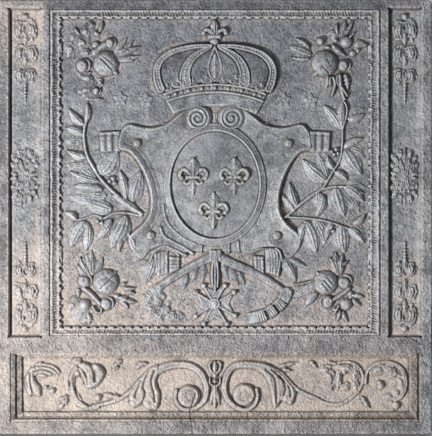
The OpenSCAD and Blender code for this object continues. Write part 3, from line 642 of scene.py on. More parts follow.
    def strand(self, points, w0, w1, rise, shape=2.2, grooves=0, soft=1.0, keep=0.45, lean=0.0):
        """A stem, vine or band: its width runs from w0 to w1, its back is round.

        grooves is how many channels run along it, and keep the share of its height that it
        would keep if it ran out to no width. lean is the share of its height that it loses
        towards its left side, or right if less than 0.
        """
        part, along, across, length = self.measure(points, max(w0, w1) / 2 + 4)
        half = (w0 + (w1 - w0) * along / length) / 2
        share = np.abs(across) / half
        tall = rise * np.minimum(1, keep + (1 - keep) * 2 * half / max(w0, w1))
        body = tall * (1 - np.minimum(share, 6) ** shape)
        body -= tall * abs(lean) * unit(0.5 + 0.5 * np.sign(lean) * across / half)
        if grooves:
            body -= 1.4 * (0.5 + 0.5 * np.cos(math.pi * (grooves + 1) * across / half)) * (share < 0.9)
        self.add(part, body, soft)

    def ball(self, x, z, r, rise, flat=2.4, soft=0.8):
        """A round berry, bead or boss, the flatter on top the more flat is."""
        part, across, along = self.around(x, z, r + 3)
        away = np.hypot(across, along) / r
        self.add(part, rise * (1 - away ** flat), soft)

    def block(self, outline, rise, edge=2.0, soft=0.8):
        """A flat-topped block with edges rounded to edge."""
        part, depth = self.inside(outline)
        rest = unit(1 - depth / edge)
        body = np.where(depth < 0, rise - edge + 3 * depth, rise - edge * rest ** 2.2)
        self.add(part, body, soft)

    def cast(self, name, material, cells=None, grain=0.8):
        """Makes the piece where it stands above what lies there: one closed mesh.

        Where cells are given it covers just those, with its heights as they are.
        """
        under = canvas[self.patch]
        if cells is None:
            self.heights = self.heights + grain * (sand[self.patch] - 0.2)
            cells = part_corners(np.any(corners_of(self.heights > under), axis=0))
        heights = np.clip(self.heights, under - 1.5, highest)
        used = np.zeros(heights.shape, dtype=bool)
        for view in corners_of(used):
            view |= cells
        rows, cols = np.nonzero(used)
        number = np.full(heights.shape, -1)
        number[rows, cols] = np.arange(len(rows))
        x, z = worn(lattice_x[self.patch][rows, cols], lattice_z[self.patch][rows, cols])
        points = np.stack([x, face_y - heights[rows, cols], z], axis=1)
        corner = corners_of(number)
        quads = np.stack([c[cells] for c in corner], axis=1)
        # edges with a cell on one side only, each seen with its cell on the left
        wide = np.pad(cells, 1)
        lone = [cells & ~wide[:-2, 1:-1], cells & ~wide[1:-1, 2:], cells & ~wide[2:, 1:-1],
                cells & ~wide[1:-1, :-2]]
        edges = np.concatenate([np.stack([corner[k][lone[k]], corner[(k + 1) % 4][lone[k]]], axis=1)
                                for k in range(4)])
        ring, place = np.unique(edges, return_inverse=True)
        low = place.reshape(edges.shape) + len(points)
        walls = np.stack([edges[:, 1], edges[:, 0], low[:, 0], low[:, 1]], axis=1)
        at_rim = rim[self.patch][rows, cols][ring] == 0
        seat = np.where(at_rim, 0.0, 2.5)
        foot = np.stack([points[ring, 0], face_y + seat, points[ring, 2]], axis=1)
        closing = fill_flat(foot, low - len(points)) + len(points)
        piece = mesh_object(name, np.concatenate([points, foot]), [quads, walls, closing],
                            [True, False, False], material)
        rows, cols = rows + self.patch[0].start, cols + self.patch[1].start
        castings.append((piece, np.concatenate([rows, rows[ring]]), np.concatenate([cols, cols[ring]])))
        canvas[self.patch] = np.where(used, np.maximum(under, heights), under)
        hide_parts(self.node)
        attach(piece, "root")
        return piece


def part_corners(cells):
    """Fills in beside cells that touch at a corner only, so that the mesh stays sound."""
    while True:
        rising = cells[:-1, :-1] & cells[1:, 1:] & ~cells[:-1, 1:] & ~cells[1:, :-1]
        falling = ~cells[:-1, :-1] & ~cells[1:, 1:] & cells[:-1, 1:] & cells[1:, :-1]
        touching = rising | falling
        if not touching.any():
            return cells
        for view in corners_of(cells):
            view |= touching


def fill_flat(points, edges):
    """Triangles that close the flat foot of a piece inside its edges, facing the back."""
    work = bmesh.new()
    corners = [work.verts.new((x, 0, z)) for x, _, z in points]
    lines = [work.edges.new((corners[a], corners[b])) for a, b in edges]
    work.verts.index_update()
    bmesh.ops.triangle_fill(work, edges=lines, use_beauty=False, normal=(0, 1, 0))
    triangles = np.array([[v.index for v in f.verts] for f in work.faces], dtype=int).reshape(-1, 3)
    work.free()
    a, b, c = (points[triangles[:, k]] for k in range(3))
    turned = (b[:, 2] - a[:, 2]) * (c[:, 0] - a[:, 0]) - (b[:, 0] - a[:, 0]) * (c[:, 2] - a[:, 2]) < 0
    triangles[turned] = triangles[turned][:, ::-1]
    return triangles


frame_iron = iron("rubbed_frame_grey", (92, 92, 96), (168, 168, 173), dusty=0.08, hollows=0.25,
                  coarse=1.9, low=0.45, soot=0.15)
# painted light: the inner stiles and the right outer stile are a lighter copy of the frame iron, brightening
# bars that lie darker in the key light
lightened_stile_iron = iron("lightened_stile_grey", (100, 102, 108), (186, 188, 194), dusty=0.08, hollows=0.25,
                  coarse=2.0, low=0.45, soot=0.15)
# painted shade: the top rail, facing up away from the low key light, is a darker copy of the frame iron
top_rail_shaded_iron = iron("sooty_rail_grey", (86, 86, 91), (164, 164, 170), dusty=-0.1, coarse=1.6, low=0.0)
bar_irons = {"left_outer_stile": frame_iron, "right_outer_stile": lightened_stile_iron,
             "left_inner_stile": lightened_stile_iron, "right_inner_stile": lightened_stile_iron,
             "top_rail": top_rail_shaded_iron, "middle_rail": frame_iron, "bottom_rail": frame_iron}
frame_top = frame_heights()
for node, bar_iron in bar_irons.items():
    bar = Relief(node, margin=0)
    bar.heights = frame_top[bar.patch]
    x, z = bar.x[:-1, :-1], bar.z[:-1, :-1]
    cells = ((x >= edge_of(node, "left")) & (x < edge_of(node, "right"))
             & (z >= edge_of(node, "lower")) & (z < edge_of(node, "upper")))
    bar.cast(node + "_casting", bar_iron, cells)


# ---- The leaf moulding ---------------------------------------------------------------
# A run of moulding on each side of the field, mitred at the corners: a beaded ridge by
# the stile, a ribbed slope down from it, and leaf tips that hang over deep little pits.
moulding_width = 24
leaf_period = 34.6
# Where the pits between the leaf tips lie in a period, and half their length: the upright
# runs have a long one and a short one by turns, the others have short ones only
side_pits, rail_pits = [(0.0, 8.4), (17.3, 4.2)], [(0.0, 3.6), (17.3, 3.6)]
field_half = moulding_out - moulding_width
field_low, field_high = edge_of("leaf_moulding_base", "upper"), edge_of("leaf_moulding_top", "lower")
# Distance out from the field's edge, as if every run were as wide as the upright ones
leaf_runs = {
    "leaf_moulding_left": -lattice_x - field_half,
    "leaf_moulding_right": lattice_x - field_half,
    "leaf_moulding_base": (field_low - lattice_z) * moulding_width / (field_low - panel_low),
    "leaf_moulding_top": (lattice_z - field_high) * moulding_width / (panel_high - field_high)}
# Its section: places out from the field's edge, and how high it stands there
section_out = [0, 0.8, 2, 5, 7.5, 9.5, 12, 15, 17, 18.5, 20.5, 22.5, moulding_width]
section_heights = [-1, 4.0, 5.2, 6.2, 5.6, 4.0, 3.8, 5.4, 7.2, 9.2, 10.0, 8.8, 5.0]


def leaf_moulding_heights(out, along, upright):
    """Height of the moulding, out from the field's edge and along its run."""
    body = np.interp(out, section_out, section_heights)
    wear = np.clip(0.7 + 0.8 * lumps(out, along, 27, 51) + 0.6 * lumps(out, along, 9, 53), 0.05, 1.3)
    # the ribs on the slope, the beads on the ridge and the leaf tips, each on its own strip
    rib_pitch = 5.2 if upright else 5.8
    for middle, reach, power, depth, place, pitch in (
            (13, 5.5, 0.5, 1.5, along + 0.35 * out, rib_pitch), (20.5, 2.6, 1, 0.8, along, 6.8),
            (7, 3.4, 1, 0.9, along - out, 8.65)):
        strip = unit(1 - np.abs(out - middle) / reach) ** power
        body += depth * wear * strip * np.cos(2 * math.pi * place / pitch)
    body += 1.3 * lumps(out, along, 5, 54)
    for middle, half in side_pits if upright else rail_pits:
        away = np.abs((along - middle + leaf_period / 2) % leaf_period - leaf_period / 2)
        length = unit((half - away + 1.5 * lumps(along, out * 0, 13, 52)) / 1.4)
        width = unit(3.6 - np.abs(out - 2.0) - 0.12 * away)
        body -= 10.0 * unit(wear * 1.6) * length * width
    return body


def mitred(relief, runs, reach):
    """The cells of a patch that its run of a moulding covers, mitred where two runs meet."""
    middles = {node: (out[relief.patch][:-1, :-1] + out[relief.patch][1:, 1:]) / 2
               for node, out in runs.items()}
    own, furthest = middles[relief.node], np.max(list(middles.values()), axis=0)
    return (own > 0) & (own < reach) & (own == furthest)


moulding_iron = iron("dark_moulding_grey", (86, 86, 90), (186, 187, 192), dusty=0.10, rub_and_highlight=1.8)
for k, (node, out) in enumerate(leaf_runs.items()):
    run = Relief(node, margin=0)
    upright = k < 2
    along = (run.z if upright else run.x) + 3.5 * k
    run.heights = leaf_moulding_heights(out[run.patch], along, upright) + 0.6 * (sand[run.patch] - 0.3)
    run.heights = np.minimum(run.heights, frame_top[run.patch] + 1.2)
    run.cast(node + "_casting", moulding_iron, mitred(run, leaf_runs, moulding_width))


# ---- The moulding round the frieze ---------------------------------------------------
# A plain run on each side of the sunk frieze, mitred: a fillet, a sloping face and two
# fine channels. It is wide at the ends and narrow along the top, and tan dust lies on it.
frieze_left = edge_of("frieze_moulding_left", "right")
frieze_right = edge_of("frieze_moulding_right", "left")
frieze_low = edge_of("frieze_moulding_base", "upper")
frieze_high = edge_of("frieze_moulding_top", "lower")
# The founder's cuts wander: on the left and below, the channel lies this much further in
cut_left, cut_low = frieze_left + 7, frieze_low + 4
# How far out each place lies, from the floor's edge (0) to the frame (1)
frieze_runs = {
    "frieze_moulding_left": (cut_left - lattice_x) / (cut_left + panel_out),
    "frieze_moulding_right": (lattice_x - frieze_right) / (panel_out - frieze_right),
    "frieze_moulding_base": (cut_low - lattice_z) / (cut_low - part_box("bottom_rail")[1][2] / MM),
    "frieze_moulding_top": (lattice_z - frieze_high) / (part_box("middle_rail")[0][2] / MM - frieze_high)}
# The section of each run: such places, and how high it stands there
frieze_sections = {
    "frieze_moulding_left": ([0, 0.03, 0.12, 0.19, 0.30, 0.36, 0.58, 0.66, 0.90, 1],
                             [-2, -2.5, -2.4, 4.4, 4.8, 2.8, 2.0, 8.0, 7.8, 5.6]),
    "frieze_moulding_base": ([0, 0.02, 0.08, 0.13, 0.42, 0.48, 0.70, 0.76, 0.92, 1],
                             [-2, -2, -1.5, 4.4, 5.0, 1.2, 0.4, 8.0, 7.8, 5.8]),
    "frieze_moulding_right": ([0, 0.12, 0.20, 0.74, 0.80, 0.86, 0.92, 1],
                              [-1, 4.2, 5.2, 5.6, 2.4, 1.6, 4.0, 8.6]),
    "frieze_moulding_top": ([0, 0.25, 0.50, 0.80, 1], [0.5, 4.0, 6.0, 7.6, 8.5])}
ledge_iron = iron("frieze_ledge_grey", (80, 75, 73), (156, 149, 144), dusty=0.36, low=0.45, coarse=1.8,
                  rub_and_highlight=0.4, hollows=0.2)
# painted shade: the left run, facing away from the light, is a dust-free and so darker copy of the ledge iron
shaded_left_run_iron = iron("frieze_channel_dark", (78, 75, 74), (152, 147, 144), dusty=0.0, low=0.2, coarse=1.8,
                    rub_and_highlight=0.6, hollows=0.2)
for node, share in frieze_runs.items():
    run = Relief(node, margin=8)
    run.heights = np.interp(share[run.patch], *frieze_sections[node])
    run.heights += 1.1 * (sand[run.patch] - 0.3) + 0.7 * lumps(run.x, run.z, 5, 55)
    run.cast(node + "_casting", shaded_left_run_iron if "left" in node else ledge_iron,
             mitred(run, frieze_runs, 1))


# ---- The cartouche -------------------------------------------------------------------
# The curling plate that carries the shield, carved like stiff parchment: its sides and
# shoulders roll up towards their edges, then drop sharply to the ground.

# The shield's middle on the plate, which everything about the arms is drawn round
arms = tuple((low + high) / 2 / MM for low, high in zip(*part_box("shield")))[0::2]
carved_iron = iron("carved_arms_grey", (100, 102, 107), (182, 184, 189), dusty=-0.05, low=0.3,
                   coarse=0.4, bump=0.8, metallic=0.2, roughness=0.52)
# Right half of its outline, from the notch between the scrolls to the foot
cartouche_half = [(0, 143), (7, 145), (11, 151), (24, 156), (38, 156), (52, 152), (66, 144), (80, 133),
                  (94, 122), (110, 116), (132, 113), (152, 116), (168, 120), (179, 115), (187, 103),
                  (191, 86), (189, 70), (172, 66), (156, 50), (142, 26), (132, 0), (127, -26),
                  (129, -54), (140, -74), (152, -86), (164, -96), (171, -107), (168, -124), (158, -138),
                  (146, -147), (138, -142), (128, -129), (114, -123), (98, -124), (84, -130),
                  (70, -137), (56, -134), (40, -132), (0, -132)]
cartouche_outline = smooth_line(cartouche_half + [(-x, z) for x, z in cartouche_half[-2::-1]], 3)[:-1]
cartouche = Relief("cartouche", origin=arms)
part, depth = cartouche.inside(cartouche_outline)
x, z = np.abs(cartouche.x[part]), cartouche.z[part]
curl = unit((x - 30) / 50) * unit((z + 128) / 40) * (1 - 0.5 * unit((z - 40) / 60))
# it rolls up to a crest near its edge and falls away outside it
crest = 3.2
face = 3.6 + 7.8 * curl * np.where(depth > crest, unit(1 - (depth - crest) / 19) ** 1.25,
                                   1 - 0.35 * unit(1 - depth / crest) ** 1.6)
face -= 1.1 * curl * bell(depth - 13.5, 1.3)
# the hollow that the scrolls stand in
face -= 2.4 * np.clip(1.25 - np.hypot((x - 33) / 27, (z - 131) / 22), 0, 0.4) / 0.4
# the shallow dish round each boss
for bx, bz in ((151, 82), (127, -102)):
    away = np.hypot(x - bx, z - bz)
    face -= 1.3 * bell(away, 16)
    face += 0.8 * bell(away - 22, 3.2) * (x < bx)
body = np.where(depth < 0, face - 2.2 + 4 * depth, face - 2.2 * unit(1 - depth / 2.6) ** 2)
cartouche.add(part, body)
# the straps that fold over its foot, beside the shield
for points, width, height in (([(-103, -39), (-94, -75), (-65, -104), (-36, -118)], 8, 6.6),
                              ([(-108, -86), (-98, -104), (-65, -122), (-44, -136)], 10, 8.0),
                              ([(-123, -134), (-101, -122), (-80, -129), (-58, -140)], 10, 7.6),
                              ([(-26, -120), (-27, -134)], 5, 8.4), ([(28, -118), (28, -134)], 6, 8.4),
                              ([(46, -112), (48, -134)], 4, 8.2)):
    cartouche.strand(points, width, width * 0.8, height, shape=2, soft=2)
cartouche.cast("cartouche_plate", carved_iron)


# ---- The shield ----------------------------------------------------------------------
# The oval field of the arms, gently swollen, inside a moulding that is sharp on its inner
# edge and slopes away outside. It is carved in one with the cartouche.
shield_w, shield_h = 88, 106
shield = Relief("shield", origin=arms)
share = np.hypot(shield.x / shield_w, shield.z / shield_h)
out = (share - 1) * (shield_w + shield_h) / 2 * np.clip(share, 0.2, 1.3)
swell = 4.8 + 5.8 * (1 - unit(share) ** 2)
ring = np.interp(out, [0, 0.8, 2.2, 3.8, 5.2, 6.4, 13.2, 15.2, 16.4, 17],
                 [6.6, 10.4, 11.2, 10.6, 8.6, 8.8, 6.6, 7.2, 5.8, 2])
body = np.where(out < -1.8, swell, np.where(out < 0, 3.8, ring))
whole_patch = (slice(None), slice(None))
shield.add(whole_patch, body)
shield_iron = iron("smooth_shield_grey", (108, 110, 116), (177, 180, 187), dusty=0.02, low=0.2,
                   coarse=0.3, bump=0.75)
shield.cast("oval_shield", shield_iron, grain=0.6)


# ---- The lilies ----------------------------------------------------------------------
# Three heraldic lilies on the shield, each with a ridged middle petal, a petal curled
# down on either side, a band across the waist and three tails.
lily_iron = iron("dark_lily_grey", (94, 96, 101), (194, 195, 198), dusty=0.04, hollows=0.9, rub_and_highlight=1.3,
                 dust=(206, 184, 162), low=0.0)
# The places of their waists, and the height of the shield where they stand
lily_waists = {"lily_left": (-43, 16), "lily_right": (38, 16), "lily_base": (-3, -52)}
lily_seat = 10.4
for node, (dx, dz) in lily_waists.items():
    lily = Relief(node, origin=(arms[0] + dx, arms[1] + dz))
    for s in (-1, 1):
        lily.strand([(2 * s, 0), (9 * s, 9), (17 * s, 14), (24 * s, 11), (27 * s, 3), (24 * s, -3)],
                    9, 8, lily_seat + 4, shape=8, keep=1, soft=0.4)
        lily.strand([(2 * s, -5), (6 * s, -11), (12 * s, -15), (18 * s, -12)], 7, 6, lily_seat + 3, shape=8,
                    keep=1)
        lily.ball(23.5 * s, -3, 5.4, lily_seat + 5, flat=7)
        lily.ball(17 * s, -12, 4, lily_seat + 3.6, flat=7)
    # the middle petal and the tail are roofs: they fall away to both sides of their ridge
    for tip, width, crest in ((38, 25, 5.4), (-37, 14, 4.2)):
        part = lily.near([(0, 0), (0, tip)], width / 2 + 3)
        t = lily.z[part] / tip
        half = 0.5 * width * np.sin(math.pi * np.clip(t, 0.001, 0.999) ** 0.85) ** 0.8 + 0.6
        share = np.abs(lily.x[part]) / half
        petal = lily_seat + crest - 4.8 * np.minimum(share, 1) - 9 * unit(share - 1)
        petal -= 3 * unit(np.clip(t, 0.001, 0.999) - 0.95)
        lily.add(part, np.where((t > 0.02) & (t < 0.99), petal, NOTHING), 0.3)
    lily.block([(-14, -4), (14, -4), (14, 1.5), (-14, 1.5)], lily_seat + 5, edge=1.6)
    lily.cast(node + "_flower", lily_iron)


# ---- The scrolls at the cartouche's head ---------------------------------------------
# Where the plate's two shoulders meet under the crown, each rolls up into a scroll: a
# thick coil of two turns, cut by one spiral groove round a small raised eye.
scroll_eye, scroll_reach, coil_pitch = (34, 132), (22.5, 23.5), 8.6
scrolls = Relief("cartouche_volutes", origin=arms)
for s in (-1, 1):
    part, across, along = scrolls.around(s * scroll_eye[0], scroll_eye[1], 28)
    across = s * across
    # the coil leans outwards, and is longer than it is wide
    lean = math.radians(35)
    u = across * math.cos(lean) - along * math.sin(lean)
    v = (across * math.sin(lean) + along * math.cos(lean)) * scroll_reach[0] / scroll_reach[1]
    r = np.hypot(u, v)
    coil = (r + coil_pitch * (np.arctan2(v, u) + lean) / (2 * math.pi) + 1.5) % coil_pitch
    off = np.minimum(coil, coil_pitch - coil)
    body = 10.2 + 0.08 * along - 0.14 * across - 14 * np.clip(r / scroll_reach[0] - 0.9, 0, 5) ** 1.3 * 3
    body -= 3.6 * bell(off, 1.5) * (r > 3.6) * (r < scroll_reach[0] - 1)
    scrolls.add(part, body, 0.3)
    scrolls.ball(s * scroll_eye[0], scroll_eye[1], 5.0, 12.2, flat=3, soft=0.1)
scrolls.cast("cartouche_scrolls", carved_iron)


# ---- The bosses ----------------------------------------------------------------------
# Four round heads on the cartouche's lobes, like the nails that a real plate hangs by.
boss_iron = iron("rusty_boss", (98, 95, 94), (182, 180, 178), dusty=0.1, rub_and_highlight=1.0)
bosses = Relief("cartouche_bosses", origin=arms)
for x, z in ((-154, 82), (146, 82), (-127, -100), (123, -101)):
    bosses.ball(x, z, 10.5, 10.6, flat=3)
    bosses.ball(x - 1.5, z - 1.5, 6, 11.6, flat=2.4, soft=1.5)
bosses.cast("cartouche_nail_heads", boss_iron)


# ---- The consoles --------------------------------------------------------------------
# A fluted block behind each shoulder of the cartouche, topped by a plain fillet.
for node, s in (("left_console", -1), ("right_console", 1)):
    console = Relief(node, origin=arms, mirrored=s < 0)
    console.block([(188, 66), (226, 66), (228, 104), (188, 106)], 6.4)
    for x in (200, 214):
        console.furrow([(x, 66), (x + 1, 98)], 3.6, 3.0)
    console.furrow([(186, 98), (228, 97)], 1.6, 1.2)
    console.cast(node + "_block", carved_iron)


# ---- The crown -----------------------------------------------------------------------
# A closed royal crown: cap panels that bulge between five pearled arches, a jewelled
# band over a plain hoop, small fleurons on the band and a lily finial on an orb.
# painted light: a lighter copy of the cap's iron, for the raised parts that catch the light
crown_iron = iron("crown_grey", (104, 106, 111), (196, 198, 204), dusty=0.02, hollows=0.5, rub_and_highlight=1.5,
                  dust=(206, 186, 166), low=0.0)
cap_edge = [(-98, 186), (-112, 194), (-122, 212), (-123, 234), (-112, 256), (-90, 270), (-56, 277),
            (-22, 279), (0, 279), (22, 279), (56, 278), (90, 270), (110, 256), (120, 236), (121, 214),
            (112, 194), (98, 186), (66, 196), (34, 202), (0, 204), (-34, 202), (-66, 196)]
# Left and right arches, drawn for the right half, with their widths, rise and largest pearl
outer_arch = [(107, 190), (113, 206), (115, 226), (109, 243), (94, 258), (70, 268), (38, 274), (8, 275)]
inner_arch = [(58, 202), (59, 218), (55, 234), (45, 250), (30, 262), (10, 272)]
arch_bands = ((outer_arch, 15, 7, 9.0, 3.2), (inner_arch, 23, 7, 9.2, 4.0))


def side_arches(relief):
    """Each arch but the middle one: its part of a relief, how far in from its edge that lies,
    and its course, rise and largest pearl."""
    for s in (-1, 1):
        for path, w0, w1, rise, pearl in arch_bands:
            course = [(s * x, z) for x, z in path]
            part, along, across, length = relief.measure(course, 22)
            inward = (w0 + (w1 - w0) * along / length) / 2 - np.abs(across)
            yield part, inward, course, rise, pearl


cap = Relief("crown_cap", origin=arms)
part, depth = cap.inside(cap_edge)
share = np.hypot(cap.x[part] / 126, (cap.z[part] - 222) / 66)
dome = 5.6 + 2.4 * unit(1.1 - share ** 2) - 1.6 * unit(1 - depth / 5)
cap.add(part, np.where(depth < 0, 4.0 + 3 * depth, dome))
# a fine channel is cut beside each arch
for part, inward, _, _, _ in side_arches(cap):
    cap.heights[part] -= 3.4 * bell(np.maximum(-inward - 0.5, 0), 2.4)
# painted shade: the cap panels between the arches are a darker copy of the crown iron
shaded_cap_iron = iron("crown_cap_shaded", (84, 86, 92), (160, 163, 170), dusty=-0.05, hollows=0.8, rub_and_highlight=0.9,
                dust=(206, 186, 166), low=0.0)
cap.cast("crown_cap_panels", shaded_cap_iron)

# each arch is a flat strap with a raised rim on both sides and a row of pearls between
arches = Relief("crown_arches", origin=arms)
for part, inward, course, rise, pearl in side_arches(arches):
    strap = rise - 1.4 + 2.6 * bell(inward - 1.7, 1.2)
    arches.add(part, np.where(inward < 0, rise + 5 * inward - 1.4, strap), 0.3)
    steps = smooth_line(course, 12)
    walked = np.concatenate([[0], np.cumsum(np.hypot(*np.diff(steps, axis=0).T))])
    for bead in np.arange(5, walked[-1] - 20, 6.2):
        x, z = (np.interp(bead, walked, steps[:, k]) for k in (0, 1))
        size = 1 - 0.45 * bead / walked[-1]
        arches.ball(x, z, pearl * size, rise + 0.8, flat=3, soft=0.3)
# the middle arch, seen end on: a drop with a leaf down its middle
part = arches.near([(0, 208), (0, 274)], 18)
rise_share = unit((arches.z[part] - 206) / 68)
half = 2.0 + 13.5 * np.sin(math.pi * np.clip(1 - rise_share, 0.001, 1) ** 1.5) ** 0.7
off = np.abs(arches.x[part])
drop = np.where(off < half - 5.0, 7.4 + 3.6 * (1 - off / 8), 10.2 - 0.9 * np.abs(off - half + 2.6))
drop = np.where(np.abs(off - half + 5.6) < 1.3, 4.0, drop)
arches.add(part, np.where((off < half) & (rise_share > 0) & (rise_share < 1), drop, NOTHING), 0.3)
arches.leaf(0, 214, 0, 262, 7, 10.8, soft=1.0)
arches.cast("crown_arch_bands", crown_iron)

# The band's arc: its middle below the arms' own, its upper edge's radius and its half angle
band_middle, band_top, band_reach = -70, 271, 22.3
band = Relief("crown_band", origin=arms)
radius = np.hypot(band.x, band.z - band_middle)
angle = np.degrees(np.arctan2(band.x, band.z - band_middle))
inset = (band_reach - np.abs(angle)) * math.radians(1) * radius
inset -= np.clip(252 - radius, 0, 40) * 0.12
level = np.interp(band_top - radius, [-1, 0, 1.5, 3.8, 4.8, 15, 16.2, 18.6, 20.4, 22.4, 28, 34, 43, 48],
                  [-6, 6, 9.6, 9.2, 5.2, 5.2, 9.4, 9.2, 4.4, 6.0, 6.6, 6.8, 8.2, 2])
level -= 2.2 * (np.abs(angle) / band_reach) ** 2 + 2 * unit(1 - inset / 2)
band.add(whole_patch, np.where(inset < 0, 2 + 4 * inset, level))
jewel_reach = band_top - 9.7
for k in range(-7, 8):
    a = math.radians(k * 2.9)
    r, rise = ((4.6, 10.4), (2.8, 9.2))[k % 2]
    band.ball(jewel_reach * math.sin(a), band_middle + jewel_reach * math.cos(a), r, rise, flat=4, soft=0.3)
band.cast("crown_jewelled_band", crown_iron)

# Each fleuron's place along the band, its size and whether it is the wide or the narrow kind
fleuron_row = [(-92, 0.9, 1), (-70, 1.15, 1), (-41, 0.9, 0), (-15, 1.0, 1), (16, 0.9, 0), (43, 1.15, 1),
               (68, 0.9, 0), (92, 1.05, 1)]
# The petals of the narrow and the wide kind: middle, radius and rise
fleuron_petals = [(0, 6, 6.2, 11.0)], [(0, 10, 5.8, 11.4), (-9, 3, 5.6, 10.8), (9, 3, 5.6, 10.8)]
fleurons = Relief("crown_fleurons", origin=arms, margin=7)
for x, size, wide in fleuron_row:
    a = math.asin(x / band_top)
    foot_x, foot_z = (band_top + 4) * math.sin(a), band_middle + (band_top + 4) * math.cos(a)
    for dx, dz, r, rise in fleuron_petals[wide]:
        x0, z0 = foot_x + dx * size, foot_z + dz * size
        fleurons.ball(x0, z0, r * size, rise, flat=4, soft=0.2)
        # the curled tip of each petal leaves a little round hole
        part, across, along = fleurons.around(x0, z0, 5)
        fleurons.heights[part] -= 6.0 * bell(np.hypot(across - 1.4 * size, along - 0.6 * size), 2.2)
    fleurons.block([(foot_x - 10 * size, foot_z - 4), (foot_x + 10 * size, foot_z - 4),
                    (foot_x + 6 * size, foot_z + 1), (foot_x - 6 * size, foot_z + 1)], 7.6, edge=2)
fleurons.cast("crown_fleuron_row", crown_iron)

finial = Relief("crown_finial", origin=arms)
finial.ball(-1, 284, 10.5, 9.6, flat=3)
finial.leaf(-1, 296, -1, 328, 19, 9.4, crease=0.3, soft=1.0)
for s in (-1, 1):
    finial.strand([(2 * s, 294), (8 * s, 303), (17 * s, 307), (23 * s, 301)], 9, 7.5, 8.8, shape=4,
                  grooves=1, keep=0.9)
    finial.ball(22 * s, 301, 5.2, 9.6, flat=3)
finial.block([(-12, 290), (11, 290), (11, 296), (-12, 296)], 9.6, edge=1.5)
finial.cast("crown_lily_finial", crown_iron)


# ---- The laurels ---------------------------------------------------------------------
# A laurel branch on either side of the cartouche: long leaves with a raised back and a
# sunk rib, a few berries, and stems that grow out from under the plate's shoulder.
laurel_stems = {
    "left_laurel": [([(-146, -58), (-164, -44), (-186, -28), (-208, -8), (-228, 14), (-243, 38), (-254, 60),
                      (-259, 86), (-259, 108), (-254, 128)], 9, 6, 6.6),
                    ([(-146, -62), (-174, -56), (-198, -56), (-220, -66), (-238, -60), (-254, -66),
                      (-276, -70)], 5, 3.5, 5.0)],
    "right_laurel": [([(140, -64), (150, -56), (170, -38), (194, -20), (214, -6), (224, 10), (236, 30),
                       (248, 50), (252, 80), (253, 110), (260, 134), (261, 154), (252, 170)], 7, 3.5, 6.8),
                     ([(142, -64), (180, -66), (210, -70), (240, -78), (276, -92)], 4.5, 3.5, 5.0),
                     ([(210, -10), (236, -4), (270, -6), (294, -18)], 6, 3.5, 5.4)]}
# Each leaf from its stalk to its tip, and its width
laurel_leaves = {
    "left_laurel": [
        (-230, 6, -288, 26, 19), (-222, -10, -282, -4, 17), (-254, 54, -294, 68, 17),
        (-260, 98, -296, 112, 17), (-258, 118, -290, 150, 17), (-256, 122, -254, 162, 14),
        (-204, -50, -260, -30, 27), (-150, -56, -206, -20, 17), (-206, -68, -234, -108, 21),
        (-228, 20, -193, 68, 36), (-164, -34, -147, 26, 32), (-176, -30, -189, 28, 18),
        (-254, -74, -256, -132, 19), (-258, -72, -286, -124, 29), (-176, -62, -207, -126, 34),
        (-184, -106, -190, -134, 13), (-172, -96, -158, -128, 12), (-274, -70, -298, -54, 14)],
    "right_laurel": [
        (222, 6, 173, 50, 27), (158, -54, 129, -20, 18), (162, -46, 147, 4, 20), (250, 110, 215, 157, 23),
        (252, 110, 253, 166, 19), (262, 130, 297, 140, 17), (254, 72, 294, 92, 15), (256, 70, 290, 20, 36),
        (256, -4, 294, -34, 26), (238, -6, 256, -62, 34), (214, -20, 200, -64, 19), (180, -74, 165, -124, 17),
        (178, -72, 200, -136, 29), (250, -80, 257, -138, 28), (264, -86, 295, -116, 19),
        (232, -74, 220, -110, 15), (236, 26, 262, 8, 15), (274, -78, 297, -58, 14), (236, 30, 222, 58, 13)]}
laurel_berries = {"left_laurel": [(-202, 12, 5.5), (-209, 7, 4.5), (-199, 3, 4.5), (-226, -66, 4.5),
                                  (-233, -72, 4.5), (-224, -76, 4.5)],
                  "right_laurel": [(240, 70, 4.5), (231, 66, 4.5), (244, 62, 4), (236, 60, 4),
                                   (230, -84, 4.5), (223, -88, 4.5), (234, -92, 4), (238, -16, 4)]}
# Faint leaves on the ground between the others
faint_leaves = {
    "left_laurel": [(-236, 14, -280, 44, 26), (-246, 34, -296, 40, 22), (-214, -22, -262, -16, 24),
                    (-228, -30, -290, -22, 22), (-210, -70, -222, -108, 20), (-262, 88, -298, 88, 22)],
    "right_laurel": [(196, -68, 218, -118, 26), (268, -80, 298, -112, 26), (246, -4, 286, -56, 30),
                     (256, 66, 298, 52, 26), (222, 14, 206, 60, 22), (204, -14, 206, -54, 26),
                     (262, 132, 298, 150, 22), (258, -2, 298, -6, 22)]}
# painted highlight: a very light tone and a strong rubbed highlight brighten the laurel leaves
leaf_iron = iron("laurel_grey", (100, 102, 108), (200, 203, 210), dusty=-0.08, rub_and_highlight=1.8, coarse=0.8,
                 low=0.4, metallic=0.2, roughness=0.52)
for node in ("left_laurel", "right_laurel"):
    branch = Relief(node, origin=arms)
    for x0, z0, x1, z1, width in faint_leaves[node]:
        branch.leaf(x0, z0, x1, z1, width, 4.2, bend=3, veins=1.6, roof=0.3)
    for k, (x0, z0, x1, z1, width) in enumerate(laurel_leaves[node]):
        branch.leaf(x0, z0, x1, z1, 1.2 * width, 8.8 + 0.8 * (k % 3), bend=3.0 * (-1) ** k, veins=1.3,
                    roof=0.56)
    for stem, w0, w1, rise in laurel_stems[node]:
        branch.strand(stem, w0, w1, rise, keep=0.8, soft=0.3)
    for x, z, r in laurel_berries[node]:
        branch.ball(x, z, r, 7.6, flat=3, soft=0.2)
    branch.cast(node + "_branch", leaf_iron, grain=1.2)


